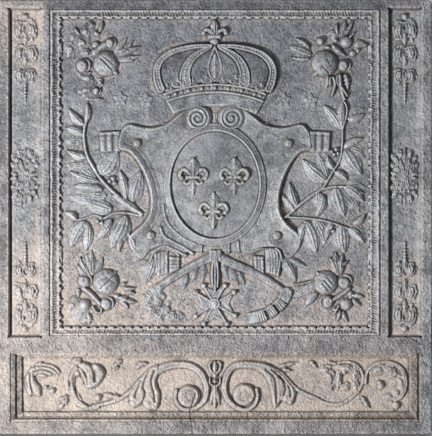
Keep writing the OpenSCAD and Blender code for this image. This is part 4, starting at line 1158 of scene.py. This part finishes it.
# ---- The pomegranates ----------------------------------------------------------------
# In each corner of the field a ripe fruit with a crease and a pointed crown, among buds,
# small fruits and torn leaves. The carver made no two of the four alike.
def pomegranate(relief, r, creases, tip):
    """The ripe fruit: a ball with creases across it and a pointed crown at its end."""
    part, x, z = relief.around(0, 0, r + 4)
    away = np.hypot(x, z) / r
    body = 15.2 * unit(1 - np.minimum(away, 1) ** 2.1) ** 0.62 - 30 * unit(away - 1)
    for start, end, depth in creases:
        body -= 1.3 * depth * bell(from_segment(x, z, start, end)[1], 1.6)
    relief.add(part, body, 0.3)
    relief.leaf(tip[0] / 2, tip[1] / 2, *tip, 10, 7, crease=0.2, soft=1.0)


fruit_iron = iron("fruit_grey", (84, 86, 92), (184, 186, 191), dusty=-0.05, hollows=0.75, rub_and_highlight=1.4,
                  coarse=0.9, low=0.45, metallic=0.2, roughness=0.52)
# For each corner: the fruit's middle, radius, creases and crown; then, measured from the
# fruit's middle, worn lumps with their width, height and lean, leaves from stalk to tip
# with their width and teeth, balls, open buds with the way they turn, and stems
fruit_sprays = {
    "pomegranate_top_left": dict(
        fruit=((-216, 734), 25, [((-10, 10), (12, -12), 2.6), ((-4, 14), (14, -2), 1.2)], (24, -22)),
        lumps=[(-42, 62, 24, 22, 0), (-29, 75, 13, 15, 20), (-19, 60, 16, 10, -20), (-48, 42, 32, 24, 10),
               (-70, 26, 20, 30, 0), (-66, 52, 14, 16, 0), (-39, 20, 22, 18, 0), (-38, -30, 28, 24, -20),
               (-40, -53, 26, 22, 10), (-11, -38, 12, 18, 10), (-30, -72, 24, 15, 10),
               (-12, -74, 16, 13, -20), (30, 24, 24, 28, -40)],
        leaves=[(18, 14, 42, 52, 17, 0), (20, 14, 54, 46, 16, 0), (22, 12, 67, 33, 16, 0),
                (22, 10, 67, 15, 15, 0), (24, 6, 55, 5, 13, 0), (-14, 62, -8, 84, 9, 0),
                (-50, 56, -62, 72, 14, 4)],
        balls=[(-20, 37, 8, 8), (-50, 46, 20, 4.2), (-66, 34, 17, 3.6), (-36, 68, 12, 3.6),
               (-38, -44, 19, 4.2), (-28, -62, 15, 3.6)],
        cups=[(-44, -4, 15, 10), (-18, -55, 9, 0), (10, 41, 11, 10)],
        stems=[([(-22, 22), (-10, 33), (6, 40)], 17)]),
    "pomegranate_top_right": dict(
        fruit=((217, 734), 26, [((-4, -6), (8, -18), 1.8), ((6, 6), (14, -6), 1.2)], (-22, -26)),
        lumps=[(19, 56, 20, 24, 20), (66, 26, 14, 12, 0), (6, 32, 16, 10, 0)],
        leaves=[(-27, 16, -68, 34, 34, 0), (-30, 30, -58, 50, 16, 4), (-30, 10, -66, 12, 14, 4),
                (30, 52, 40, 84, 20, 0), (28, 54, 24, 80, 10, 0), (36, 54, 56, 84, 12, 0),
                (58, 36, 86, 36, 20, 0), (14, 38, 43, 14, 15, 0), (6, -22, 2, -50, 12, 0),
                (13, -24, 12, -46, 10, 0), (40, -20, 46, -54, 18, 4), (26, -22, 28, -46, 12, 0)],
        balls=[(43, 43, 13, 10.5), (56, 20, 7.5, 8)],
        cups=[(-7, 45, 9, 40), (40, -4, 13, 0)],
        stems=[([(17, -28), (21, -41), (15, -62)], 7), ([(30, -24), (32, -43), (38, -67), (50, -90)], 9),
               ([(34, -47), (45, -64)], 7), ([(50, 52), (58, 60)], 6)]),
    "pomegranate_base_left": dict(
        fruit=((-216, 302), 25, [((-10, -13), (20, 16), 1.8), ((8, 4), (18, -2), 1.2)], (21, 21)),
        lumps=[(-34, 34, 24, 34, 10), (-55, -22, 9, 15, 0), (-68, -46, 20, 16, 0), (-40, -76, 26, 16, 0),
               (36, -4, 12, 8, 0)],
        leaves=[(-28, 12, -29, 62, 24, 0), (-30, 16, -40, 54, 16, 0), (-32, 14, -52, 49, 17, 0),
                (-22, 18, -7, 49, 16, 0), (-36, 12, -57, 33, 16, 0), (14, -26, 62, -41, 20, 3),
                (22, -32, 45, -54, 11, 0), (34, -12, 60, -12, 9, 0), (40, -22, 58, -24, 8, 0),
                (-44, -60, -54, -78, 12, 0), (-36, -62, -34, -86, 12, 0)],
        balls=[(-43, -46, 12.5, 10.5), (-50, -62, 18, 4.6), (-62, -40, 13, 4.4)],
        cups=[(-41, 3, 15, 45), (3, -43, 14, 30)],
        stems=[([(-44, -13), (-30, -24), (-11, -44)], 11),
               ([(-26, -50), (-19, -60), (-10, -61), (-9, -53)], 6)]),
    "pomegranate_base_right": dict(
        fruit=((219, 300), 24, [((-2, 4), (10, -10), 2.2), ((-6, -2), (6, -16), 2.0),
                                ((4, 10), (14, -2), 1.6)], (-18, 22)),
        lumps=[(28, 40, 18, 18, 0), (50, -22, 12, 14, 0), (18, -54, 14, 10, 20)],
        leaves=[(26, 14, 20, 60, 26, 0), (22, 16, 8, 50, 17, 0), (30, 16, 34, 56, 18, 0),
                (32, 36, 44, 44, 8, 0), (-18, 0, -66, -28, 30, 0), (-16, -20, -40, -48, 18, 0),
                (52, -26, 76, -30, 11, 0), (54, -32, 70, -46, 10, 0), (28, -54, 22, -76, 10, 0),
                (34, -56, 44, -78, 11, 0)],
        balls=[(40, -43, 13, 10.5)],
        cups=[(39, 2, 15, 50), (1, -38, 14, 180)],
        stems=[([(46, -12), (34, -22), (12, -36)], 10), ([(26, -46), (18, -60), (10, -56)], 6),
               ([(-62, -4), (-40, 0), (-24, 4)], 4)])}
for node, spray in fruit_sprays.items():
    middle, r, creases, crown_tip = spray["fruit"]
    carving = Relief(node, origin=middle)
    for points, width in spray["stems"]:
        carving.strand(points, width, width * 0.8, 8.6, soft=0.4)
    for x, z, wide, tall, lean in spray["lumps"]:
        carving.lobe(x, z, wide, tall, 7.4, turn=lean, ring=0.55, ragged=0.35, soft=0.4)
    for k, (x0, z0, x1, z1, width, teeth) in enumerate(spray["leaves"]):
        carving.leaf(x0, z0, x1, z1, width, 7.4 + 0.8 * (k % 3), bend=2.0 * (-1) ** k,
                     veins=0 if teeth or width < 12 else 1.3, roof=0.55, teeth=teeth)
    for x, z, bud_r, rise in spray["balls"]:
        carving.ball(x, z, bud_r, rise, flat=2.6, soft=0.2)
    for x, z, bud_r, turn in spray["cups"]:
        carving.cup(x, z, bud_r, 10.5, turn)
    pomegranate(carving, r, creases, crown_tip)
    carving.cast(node + "_spray", fruit_iron, grain=1.2)


# ---- The mantling --------------------------------------------------------------------
# Under each lower lobe of the cartouche, a ribbed cloth that folds over a rolled edge, a
# little fluted block beside the ribbon, and two leaf tails. The left one is badly burnt.
mantling = Relief("mantling_right", origin=arms)
mantling.block([(77, -141), (96, -143), (97, -175), (79, -166)], 6.6)
for line in ([(84, -143), (85, -172)], [(90, -143), (91, -174)], [(76, -148), (97, -149)]):
    mantling.furrow(line, 1.6, 1.3)
mantling.block([(100, -128), (112, -123), (126, -130), (132, -150), (126, -182), (101, -173)], 8.2, edge=4)
for x in (105, 110.5, 116, 121.5):
    mantling.furrow([(x - 3, -126), (x, -150), (x - 1, -182)], 1.3, 1.3)
mantling.furrow([(126, -128), (127, -150), (122, -182)], 2.4, 1.4)
mantling.strand([(59, -151), (70, -137), (88, -127), (112, -123), (127, -131), (133, -150)], 6, 7, 8.6,
                keep=0.9, soft=0.3)
mantling.leaf(131, -142, 160, -192, 27, 8.0, bend=3, veins=1.2, roof=0.6)
mantling.leaf(142, -146, 180, -162, 16, 7.4, veins=1.2, roof=0.6)
mantling.cast("mantling_right_scroll", carved_iron, grain=1.2)
mantling = Relief("mantling_left", origin=arms)
mantling.block([(-90, -142), (-69, -144), (-70, -166), (-90, -176)], 5.6)
for line in ([(-90, -150), (-69, -150)], [(-90, -157), (-69, -157)], [(-90, -164), (-69, -163)]):
    mantling.furrow(line, 2.2, 1.4)
mantling.furrow([(-68, -151), (-67, -154)], 5.0, 2.2)
mantling.block([(-122, -136), (-93, -130), (-93, -176), (-114, -182)], 3.6, edge=2.5)
for x in (-114, -107, -99):
    mantling.furrow([(x, -134), (x + 1, -180)], 1.0, 1.4)
mantling.leaf(-122, -146, -142, -198, 26, 5.8, bend=3, veins=1.6, roof=0.5)
mantling.leaf(-132, -150, -172, -164, 14, 3.6, veins=1.2)
mantling.strand([(-62, -150), (-78, -134), (-100, -126), (-120, -134), (-128, -150)], 6, 6, 5.0, keep=0.9,
                soft=0.3)
mantling.cast("mantling_left_scroll", carved_iron, grain=1.8)


# ---- The ribbon ----------------------------------------------------------------------
# The order's ribbon, knotted under the shield, falls to both sides as a round-backed
# strap. The loose cloth behind the tassel hangs in short soft folds.
ribbon_iron = iron("ribbon_blue_grey", (88, 90, 97), (168, 171, 179), dusty=0.0, hollows=0.9, coarse=0.6,
                   low=0.5)
ribbon_lines = [[(10, -144), (40, -158), (80, -175), (112, -194), (134, -210), (146, -220)],
                [(-10, -144), (-46, -162), (-80, -182), (-106, -199), (-114, -205)]]
cloth_folds = [(-22, -156, -26, -196, 16), (-34, -162, -48, -194, 20), (-54, -178, -64, -208, 17),
               (14, -154, 26, -188, 16), (30, -164, 46, -200, 20), (46, -172, 58, -198, 14)]
ribbon = Relief("ribbon", origin=arms)
for x0, z0, x1, z1, width in cloth_folds:
    ribbon.leaf(x0, z0, x1, z1, width, 4.2, soft=0.6, roof=0.6)
for line in ribbon_lines:
    ribbon.strand(line, 18, 14, 6.2, shape=4, keep=1)
    part, _, across, _ = ribbon.measure(line, 12)
    # a line runs along the strap, a third of its width from the lower edge
    ribbon.heights[part] -= 1.1 * bell(np.abs(across) - 3.0, 1.2) * (across * line[0][0] < 0)
ribbon.block([(-11, -126), (12, -126), (13, -152), (-12, -152)], 8.2, edge=3)
ribbon.strand([(0, -124), (1, -154)], 10, 10, 10.4, shape=3, grooves=1)
ribbon.heights -= 0.8 * lumps(ribbon.x, ribbon.z, 8, 65)
ribbon.cast("order_ribbon", ribbon_iron)


# ---- The collar ----------------------------------------------------------------------
# A band that hangs from the ribbon's ends, cut across by ribs in threes with a deep gap
# after each group. Fire has eaten most of its left side.
collar_lines = [[(142, -215), (134, -231), (119, -245), (102, -256), (84, -262), (66, -265)],
                [(-115, -208), (-130, -220), (-130, -236), (-112, -250), (-90, -260), (-70, -263)]]
rib_group, rib_gap, rib_pitch = 22, 6.5, 4.8
collar = Relief("collar", origin=arms)
part, along, across, length = collar.measure(collar_lines[0], 16)
beat = (along + 4) % rib_group
# the first stretch, next to the ribbon, and the last one are plain
ribbed = (along > 16) & (along < length - 20)
ribs = 6.2 + np.where(ribbed, 1.1 * np.cos(2 * math.pi * beat / rib_pitch), 0)
share = np.abs(across) / 10.5
links = np.where(ribbed & (beat > rib_group - rib_gap), 1.2, ribs)
body = links * (1 - 0.12 * share) - 15 * np.clip(share - 0.92, 0, 4)
body = np.where((across < 0) & (share > 0.76) & (share < 1), np.maximum(body, 6.4), body)
body -= 4 * unit((along - length + 16) / 16)
collar.add(part, body, 0.4)
part, along, across, length = collar.measure(collar_lines[1], 20)
x, z = collar.x[part], collar.z[part]
share = np.abs(across) / (12 + 3 * lumps(x, z, 14, 62))
body = (3.4 + 2.6 * lumps(x, z, 10, 61) + 1.6 * lumps(x, z, 5, 63)
        + 0.8 * np.cos(2 * math.pi * along / rib_pitch)) * (1 - np.minimum(share, 3) ** 3)
collar.add(part, body, 0.4)
for x, z, r in ((-122, -212, 9), (-114, -232, 11), (-98, -248, 11), (-84, -256, 8), (-128, -246, 7),
                (-104, -222, 8), (-138, -222, 8), (-92, -236, 6)):
    collar.ball(x, z, r, 5.4 + 2.0 * lumps(x, z, 9, 64), flat=3)
# a black hole burnt through the edge of one link
collar.furrow([(-87, -243), (-84, -249)], 5.0, 2.6)
collar.cast("order_collar", carved_iron, grain=1.6)


# ---- The order's cross ---------------------------------------------------------------
# A cross of four forked arms, each point with a ball, round a small raised disc.
cross_points = [(-22, -200), (20, -200), (38, -213), (40, -259), (24, -276), (-22, -275), (-38, -260),
                (-38, -213)]
middle_x, middle_z = cross_middle = (-1, -236)
cross = Relief("order_cross", origin=arms)
for x, z in cross_points:
    cross.strand([cross_middle, (x, z)], 7, 4.5, 5.2, shape=2, keep=0.9)
    cross.ball(x, z, 5.4, 8.2, flat=4)
# the metal between the two points of each arm
for a, b in zip(cross_points[0::2], cross_points[1::2]):
    between = (0.36 * (a[0] + b[0]), middle_z + 0.36 * (a[1] + b[1] - 2 * middle_z))
    cross.block([cross_middle, a, between, b], 2.6)
cross.ball(middle_x, middle_z, 12, 9.0, flat=8)
part, across, along = cross.around(middle_x, middle_z, 16)
cross.heights[part] -= 3.2 * bell(np.hypot(across, along) - 7.2, 1.6)
cross.cast("order_cross_star", crown_iron)


# ---- The tassel ----------------------------------------------------------------------
# A long drop of twisted cords that hangs from the knot to the cross.
tassel = Relief("tassel", origin=arms)
for x, reach in ((-5.5, -200), (0.5, -211), (6, -202)):
    tassel.strand([(x * 0.6, -150), (x, -176), (x * 0.8, reach)], 6.6, 5.4, 9.6, shape=2.4, keep=0.9)
tassel.cast("order_tassel", carved_iron)


# ---- The florets ---------------------------------------------------------------------
# Two plain five-petalled florets on either side of the crown, in low relief.
florets = Relief("field_florets", origin=arms)
for x, z in ((-187, 170), (-137, 168), (137, 168), (190, 166)):
    for k in range(5):
        a = math.radians(72 * k + 18)
        across, along = math.cos(a), math.sin(a)
        florets.leaf(x + 2 * across, z + 2 * along, x + 15 * across, z + 15 * along, 11, 2.6, crease=0.35,
                     soft=0.6)
    florets.ball(x, z, 4, 3.6)
florets.cast("field_floret_pairs", shield_iron)


# ---- The husks -----------------------------------------------------------------------
# A string of three husks at each end of both side panels, hung from a bead. Each is two
# broad lobes, worn and broken at their edges, over a short leaf. A beaded cord ends it.
panel_middle = (panel_in + panel_out) / 2
# Middle of each husk under the panel's end, its height, and the width of a lobe
husk_sizes = [(-42, 42, 25), (-88, 34, 25), (-132, 30, 23)]
husk_iron = iron("panel_ornament_grey", (96, 98, 102), (184, 185, 189), dusty=0.05, rub_and_highlight=1.4, low=0.7)
for node in ("husks_top_left", "husks_top_right", "husks_base_left", "husks_base_right"):
    side, upright = (-1 if "left" in node else 1), "top" in node
    end = panel_high if upright else panel_low
    string = Relief(node, origin=(side * panel_middle, end), upturned=not upright)
    for z, tall, wide in husk_sizes:
        string.leaf(0, z + 4, 0, z - 0.72 * tall, 15, 6.4, veins=0.8, roof=0.5)
        for s in (-1, 1):
            string.lobe(s * 0.5 * wide, z + 2, wide, tall, 7.4, turn=s * 10, ragged=0.3)
            for k in range(3):
                x = s * (0.25 + 0.24 * k) * wide
                flute = [(x - 2 * s, z + 0.34 * tall), (x + 1.5 * s, z), (x - 3 * s, z - 0.34 * tall)]
                string.furrow(flute, 1.5, 1.1)
        string.furrow([(0, z + 0.3 * tall), (0, z - 0.1 * tall)], 2.4, 1.6)
    string.ball(0, -14, 6.5, 7.6)
    string.strand([(0, -146), (0, -186)], 5, 2.5, 3.6)
    for k in range(6):
        string.ball(0, -150 - 6.6 * k, 4.2 - 0.3 * k, 6.2 - 0.5 * k, flat=3)
    # the left side is worn more than the right one
    string.heights -= (1.2 - 1.0 * side) * unit(lumps(string.x + 40 * side, string.z, 6, 81) + 0.3)
    string.cast(node + "_string", husk_iron, grain=1.6)


# ---- The rosettes --------------------------------------------------------------------
# Half way up each side panel, a close oval star of curled, fluted leaves round a small
# bead. The left one is worn nearly flat.
rosette_level = 511
# Course of the curled leaf of one quarter, then middle, width, height and lean of its lobes
rosette_curl = [(3, 4), (4, 13), (8, 22), (15, 22), (16, 14), (12, 12)]
rosette_lobes = [(9, 42, 15, 26, -12), (18, 33, 13, 24, -32), (23, 21, 12, 17, -62), (19, 4, 22, 10, 10),
                 (8, 29, 8, 14, -10)]
for node, s in (("rosette_left", -1), ("rosette_right", 1)):
    rosette = Relief(node, origin=(s * panel_middle, rosette_level))
    rosette.lobe(0, 0, 50, 108, 4.8, ring=2, ragged=0.12, soft=0.4)
    for out, up in ((-1, -1), (-1, 1), (1, -1), (1, 1)):
        curl = [(out * x, up * z) for x, z in rosette_curl]
        rosette.strand(curl, 11, 8, 8.0, shape=3, soft=0.3)
        rosette.furrow(curl, 2.4, 1.2)
        for x, z, wide, tall, lean in rosette_lobes:
            rosette.lobe(out * x, up * z, wide, tall, 7.2, turn=out * up * lean, ring=0.58, ragged=0.26)
        for x, z, wide, tall, lean in rosette_lobes[:3]:
            rosette.furrow([(out * 0.8 * x, up * 0.8 * z), (out * 1.2 * x, up * 1.2 * z)], 1.6, 1.2)
    for up in (-1, 1):
        rosette.leaf(0, up * 24, 0, up * 57, 11, 6.8, veins=0.8, crease=0.5)
    rosette.ball(0, 0, 7, 9.0)
    rosette.heights -= (2.2 - 0.8 * s) * unit(lumps(rosette.x + 30 * s, rosette.z, 6, 82) + 0.3)
    rosette.cast(node + "_star", husk_iron, grain=1.6)


# ---- The frieze ----------------------------------------------------------------------
# A ribbed vine runs out from the middle on both sides in three scrolls. Its first scroll
# ends in a raised disc. Leaves split from it like husks, with berries inside the curls.
frieze_iron = iron("dusty_frieze_tan", (108, 103, 100), (186, 180, 176), dusty=0.36, low=0.45)
frieze_middle = (frieze_low + frieze_high) / 2
# Bands: line, widths, rise, grooves and lean. Husks: an outline, its rise and the grooves
# between its lobes. Bulbs and berries: middle and radius. Leaves: stalk, tip and width
vines = {
    "frieze_scroll_left": dict(
        bands=[([(-76, -10), (-78, -26), (-71, -41), (-60, -48), (-46, -48), (-32, -41), (-21, -30),
                 (-17, -14), (-18, 2), (-27, 22), (-40, 34), (-57, 40), (-80, 40), (-102, 34), (-118, 25)],
                7, 19, 8.4, 1, 0.3),
               ([(-112, 33), (-130, 24), (-150, 7), (-168, -13), (-192, -29), (-219, -37), (-242, -42)],
                9, 7, 6.0, 1, 0),
               ([(-232, -43), (-243, -45), (-254, -43), (-267, -35), (-281, -16), (-288, 6), (-285, 26),
                 (-272, 41)], 9, 28, 7.4, 2, 0),
               ([(-366, -22), (-374, 0), (-372, 18), (-362, 34), (-344, 45)], 3, 4, 5.4, 0, 0)],
        husks=[([(-113, 42), (-107, 29), (-114, 16), (-116, 3), (-109, -15), (-109, -29), (-114, -47),
                 (-124, -48), (-135, -46), (-144, -37), (-153, -42), (-162, -44), (-168, -35), (-170, -20),
                 (-164, -9), (-153, 5), (-135, 29)], 7.8,
                [[(-131, 28), (-142, 0), (-138, -17), (-144, -36)],
                 [(-120, 28), (-126, 7), (-121, -15), (-119, -32)], [(-146, 8), (-156, -14), (-158, -24)]]),
               ([(-274, 42), (-259, 47), (-244, 42), (-229, 40), (-218, 26), (-224, 10), (-235, -2),
                 (-252, -6), (-260, 11), (-269, 28)], 9.4,
                [[(-262, 48), (-247, 40), (-240, 26), (-239, 8)],
                 [(-259, 50), (-244, 42), (-237, 28), (-237, 8)], [(-272, 38), (-257, 24), (-252, 2)],
                 [(-288, 5), (-288, -9), (-282, -23), (-270, -35)],
                 [(-270, 13), (-276, -3), (-276, -13), (-270, -27), (-262, -33), (-250, -41)]]),
               ([(-357, 42), (-369, 28), (-374, 13), (-372, -6), (-368, -20), (-357, -19), (-345, -22),
                 (-345, -4), (-354, 8), (-359, 24)], 7.6,
                [[(-366, 26), (-365, 2), (-360, -16)]]),
               ([(-370, 27), (-361, 37), (-347, 44), (-330, 43), (-315, 37), (-306, 26), (-310, 18),
                 (-322, 20), (-336, 15), (-350, 18), (-359, 19)], 7.0,
                [[(-356, 38), (-338, 38), (-322, 34), (-310, 23)],
                 [(-358, 27), (-342, 31), (-326, 27), (-316, 20)], [(-352, 21), (-340, 23), (-330, 19)]])],
        rags=[],
        bulbs=[(-162, -34, 8), (-132, -37, 10), (-117, -38, 7), (-244, 6, 9), (-231, -24, 7)],
        leaves=[(-186, -25, -226, -17, 16), (-184, 50, -206, 32, 14), (-190, 36, -206, 28, 9),
                (-138, 46, -162, 30, 14), (-132, 42, -156, 44, 9), (-290, -22, -312, -30, 12),
                (-292, -28, -312, -50, 15)],
        disc=(-52, -22, 21), boss=(-47, -19, 9.5),
        berries=[(-273, 24, 7), (-322, -11, 6.5), (-335, -4, 3.5), (-286, 22, 3.5)]),
    "frieze_scroll_right": dict(
        bands=[([(82, -8), (84, -24), (78, -39), (68, -47), (56, -49), (42, -43), (28, -32), (20, -16),
                 (19, 2), (24, 20), (36, 36), (54, 41), (76, 40), (96, 37), (112, 29)], 7, 18, 8.4, 1, 0),
               ([(96, 41), (128, 26), (146, 8), (162, -8), (182, -18), (200, -26), (222, -36), (246, -38),
                 (266, -28), (282, -13), (292, 4), (292, 22), (282, 38), (264, 46), (244, 44)], 9, 6, 5.0, 1,
                0.3),
               ([(298, 3), (300, 23), (312, 38), (334, 46), (356, 42), (371, 30), (377, 10), (376, -7),
                 (368, -23), (357, -28)], 6, 12, 6.4, 1, 0.3)],
        husks=[([(77, 34), (98, 42), (124, 28), (145, 9), (161, -12), (159, -24), (154, -36), (140, -33),
                 (131, -31), (124, -43), (116, -45), (112, -26), (107, -1), (98, 18)], 7.6,
                [[(101, 31), (117, 16), (121, -3), (122, -34)], [(113, 31), (133, 11), (140, -5), (137, -20)],
                 [(128, 18), (147, -4), (150, -22)]])],
        rags=[(220, 30, 26, 20, 10), (227, 12, 23, 46, 8), (245, 14, 15, 40, -6), (258, 33, 36, 18, -8),
              (277, 22, 20, 38, -15), (277, -2, 17, 42, 20), (258, -4, 26, 15, 20), (322, 30, 36, 22, 30),
              (343, 29, 38, 28, -25), (368, 2, 17, 46, 8), (360, -16, 22, 24, 30), (345, -23, 24, 14, 0)],
        bulbs=[(140, -25, 9), (150, -33, 6), (119, -40, 5)],
        leaves=[(126, 36, 164, 46, 14), (134, 32, 152, 28, 12), (188, 48, 202, 34, 15), (222, 46, 246, 42, 9),
                (290, -22, 306, -46, 15), (284, -30, 300, -32, 11)],
        disc=(58, -19, 21), boss=(60, -22, 9.5),
        berries=[(328, -1, 7.5), (326, 4, 6), (359, -40, 8), (256, 26, 5)])}
for node, vine in vines.items():
    scroll = Relief(node, origin=(0, frieze_middle))
    for points, w0, w1, rise, grooves, lean in vine["bands"]:
        scroll.strand(points, w0, w1, rise, shape=3.2, grooves=grooves, keep=0.9, soft=0.3, lean=lean)
    for outline, rise, grooves in vine["husks"]:
        scroll.block(smooth_line(outline + outline[:1], 3)[:-1], rise, edge=6.5, soft=0.3)
        for line in grooves:
            scroll.furrow(line, 4.4, 2.2)
    for x, z, wide, tall, lean in vine["rags"]:
        scroll.lobe(x, z, wide, tall, 6.8, turn=lean)
    for x, z, r in vine["bulbs"]:
        scroll.ball(x, z, r, 8.6, flat=2.6, soft=1.5)
    for x0, z0, x1, z1, width in vine["leaves"]:
        scroll.leaf(x0, z0, x1, z1, width, 7.0, roof=0.6, teeth=2)
    # the disc that the first scroll ends in is cut by an arc round its boss
    x, z, r = vine["disc"]
    part, across, along = scroll.around(x, z, r + 4)
    away = np.hypot(across, along)
    boss_x, boss_z, boss_r = vine["boss"]
    from_boss = np.hypot(scroll.x[part] - boss_x, scroll.z[part] - boss_z)
    curl = unit(0.7 - (scroll.x[part] - boss_x) / 16)
    body = 9.6 - 12 * np.clip(away / r - 0.86, 0, 4) ** 1.2 * 5 - 1.6 * curl * bell(from_boss - boss_r, 1.7)
    scroll.heights[part] = np.where(away < r + 2, body, scroll.heights[part])
    for x, z, r in vine["berries"]:
        scroll.ball(x, z, r, 8.0, flat=3, soft=0.2)
    scroll.cast(node + "_vine", frieze_iron, grain=1.5)

palmette = Relief("frieze_palmette", origin=(0, frieze_middle))
for s in (-1, 1):
    palmette.strand([(s * 2, 22), (s * 9, 30), (s * 11, 42), (s * 6, 46)], 6, 4.5, 6.8, keep=0.9, soft=0.3)
    palmette.leaf(s * 3, -8, s * 9, -40, 8, 6.4, crease=0.2)
    palmette.strand([(s * 3, -2), (s * 10, 4), (s * 10, 14)], 5, 4, 6.0, keep=0.9, soft=0.3)
palmette.leaf(0, 22, 0, 49, 10, 8, crease=0.2)
palmette.ball(0, 19, 5.5, 7.6)
palmette.ball(0, 8, 4.8, 7.4)
palmette.leaf(0, 2, 0, -46, 13, 8, crease=0.2)
palmette.cast("frieze_palmette_drop", frieze_iron)


# ---- Hollows and high edges: painted shade, dust, wear and painted highlight ---------
# Dust keeps to the hollows, which painted shade darkens; the high edges are painted bright,
# partly as rubbed wear and partly as a painted highlight. Both are read from the finished
# relief, and every piece takes them as values on its points.
def blurred(heights, reach):
    """Heights averaged three times over reach mm on every side, by running sums."""
    for _ in range(3):
        for axis in (0, 1):
            padded = np.concatenate([np.repeat(np.take(heights, [0], axis), reach + 1, axis), heights,
                                     np.repeat(np.take(heights, [-1], axis), reach, axis)], axis)
            total = np.cumsum(padded, axis)
            low, high = (np.take(total, np.arange(k, k + heights.shape[axis]), axis)
                         for k in (0, 2 * reach + 1))
            heights = (high - low) / (2 * reach + 1)
    return heights


near_level, wide_level = blurred(canvas, 2), blurred(canvas, 7)
# painted shade: the deeper a place lies below the relief round it, the darker it is painted
sunk = unit((wide_level - canvas) / 6.0) * 0.3 + unit((near_level - canvas) / 1.7) * 0.8
nook = unit((wide_level - canvas) / 2.6)
# rubbed wear and painted highlight: the higher a place stands above the relief round it, the brighter
proud = unit((canvas - near_level) / 0.9) * 0.6 + unit((canvas - wide_level) / 5) * 0.5
for piece, rows, cols in castings:
    for label, field in (("hollow", sunk), ("nook", nook), ("proud", proud)):
        values = piece.data.attributes.new(label, "FLOAT", "POINT")
        values.data.foreach_set("value", unit(field[rows, cols]).astype(np.float32))


# ---- Studio --------------------------------------------------------------------------
# A pale floor, a soft key light low on the left, two weak ones, and a little light from
# everywhere. The camera looks straight at the plate, as the photograph does.
mesh = bpy.data.meshes.new("floor")
mesh.from_pydata([(-9, -9, 0), (9, -9, 0), (9, 9, 0), (-9, 9, 0)], [], [[0, 1, 2, 3]])
floor = bpy.data.objects.new("floor", mesh)
bpy.context.scene.collection.objects.link(floor)
floor_paint = bpy.data.materials.new("floor")
floor_paint.use_nodes = True
surface = floor_paint.node_tree.nodes["Principled BSDF"]
surface.inputs["Base Color"].default_value = (0.62, 0.62, 0.61, 1)
surface.inputs["Roughness"].default_value = 0.9
surface.inputs["Specular IOR Level"].default_value = 0.1
mesh.materials.append(floor_paint)
# the key light stands low, below the level of the floor, as if the plate stood on a bench
floor.visible_shadow = False


def area_light(name, place, aim, size, watts, colour):
    """A round lamp at a place, turned to what it aims at."""
    light = bpy.data.lights.new(name, "AREA")
    light.shape = "DISK"
    light.size = size
    light.energy = watts
    light.color = colour
    lamp = bpy.data.objects.new(name, light)
    lamp.location = place
    direction = [a - p for a, p in zip(aim, place)]
    flat = math.hypot(direction[0], direction[1])
    lamp.rotation_euler = (math.pi / 2 + math.atan2(direction[2], flat), 0,
                           math.atan2(direction[1], direction[0]) - math.pi / 2)
    bpy.context.scene.collection.objects.link(lamp)
    return lamp


area_light("key", (-1.75, -1.9, -0.55), (0.0, 0, 0.42), 0.5, 104, (1.0, 0.99, 0.97))
area_light("fill", (1.2, -3.0, 1.9), (0, 0, 0.43), 1.8, 6, (0.90, 0.95, 1.0))
area_light("back_fill", (0.8, 2.6, 1.6), (0, 0, 0.43), 1.8, 40, (1.0, 1.0, 1.0))

world = bpy.data.worlds.new("studio")
bpy.context.scene.world = world
world.use_nodes = True
tree = world.node_tree
background = tree.nodes["Background"]
rays = tree.nodes.new("ShaderNodeLightPath")
pale = combine(tree, "MAXIMUM", rays.outputs["Is Glossy Ray"], rays.outputs["Is Transmission Ray"],
               rays.outputs["Is Camera Ray"])
background.inputs["Color"].default_value = (0.92, 0.94, 0.97, 1)
tree.links.new(plus(tree, times(tree, pale, 0.32), 0.13), background.inputs["Strength"])

# The picture is 864 mm wide at the plate's face, seen squarely from 6 m
view_w, view_middle, distance = 864 * MM, (2 * MM, 428 * MM), 6.0
lens = bpy.data.cameras.new("camera")
lens.sensor_width = 36
lens.lens = 36 * distance / view_w
camera = bpy.data.objects.new("camera", lens)
camera.location = (view_middle[0], -distance, view_middle[1])
camera.rotation_euler = (math.pi / 2, 0, 0)
bpy.context.scene.collection.objects.link(camera)
bpy.context.scene.camera = camera
bpy.context.scene.view_settings.view_transform = "Standard"
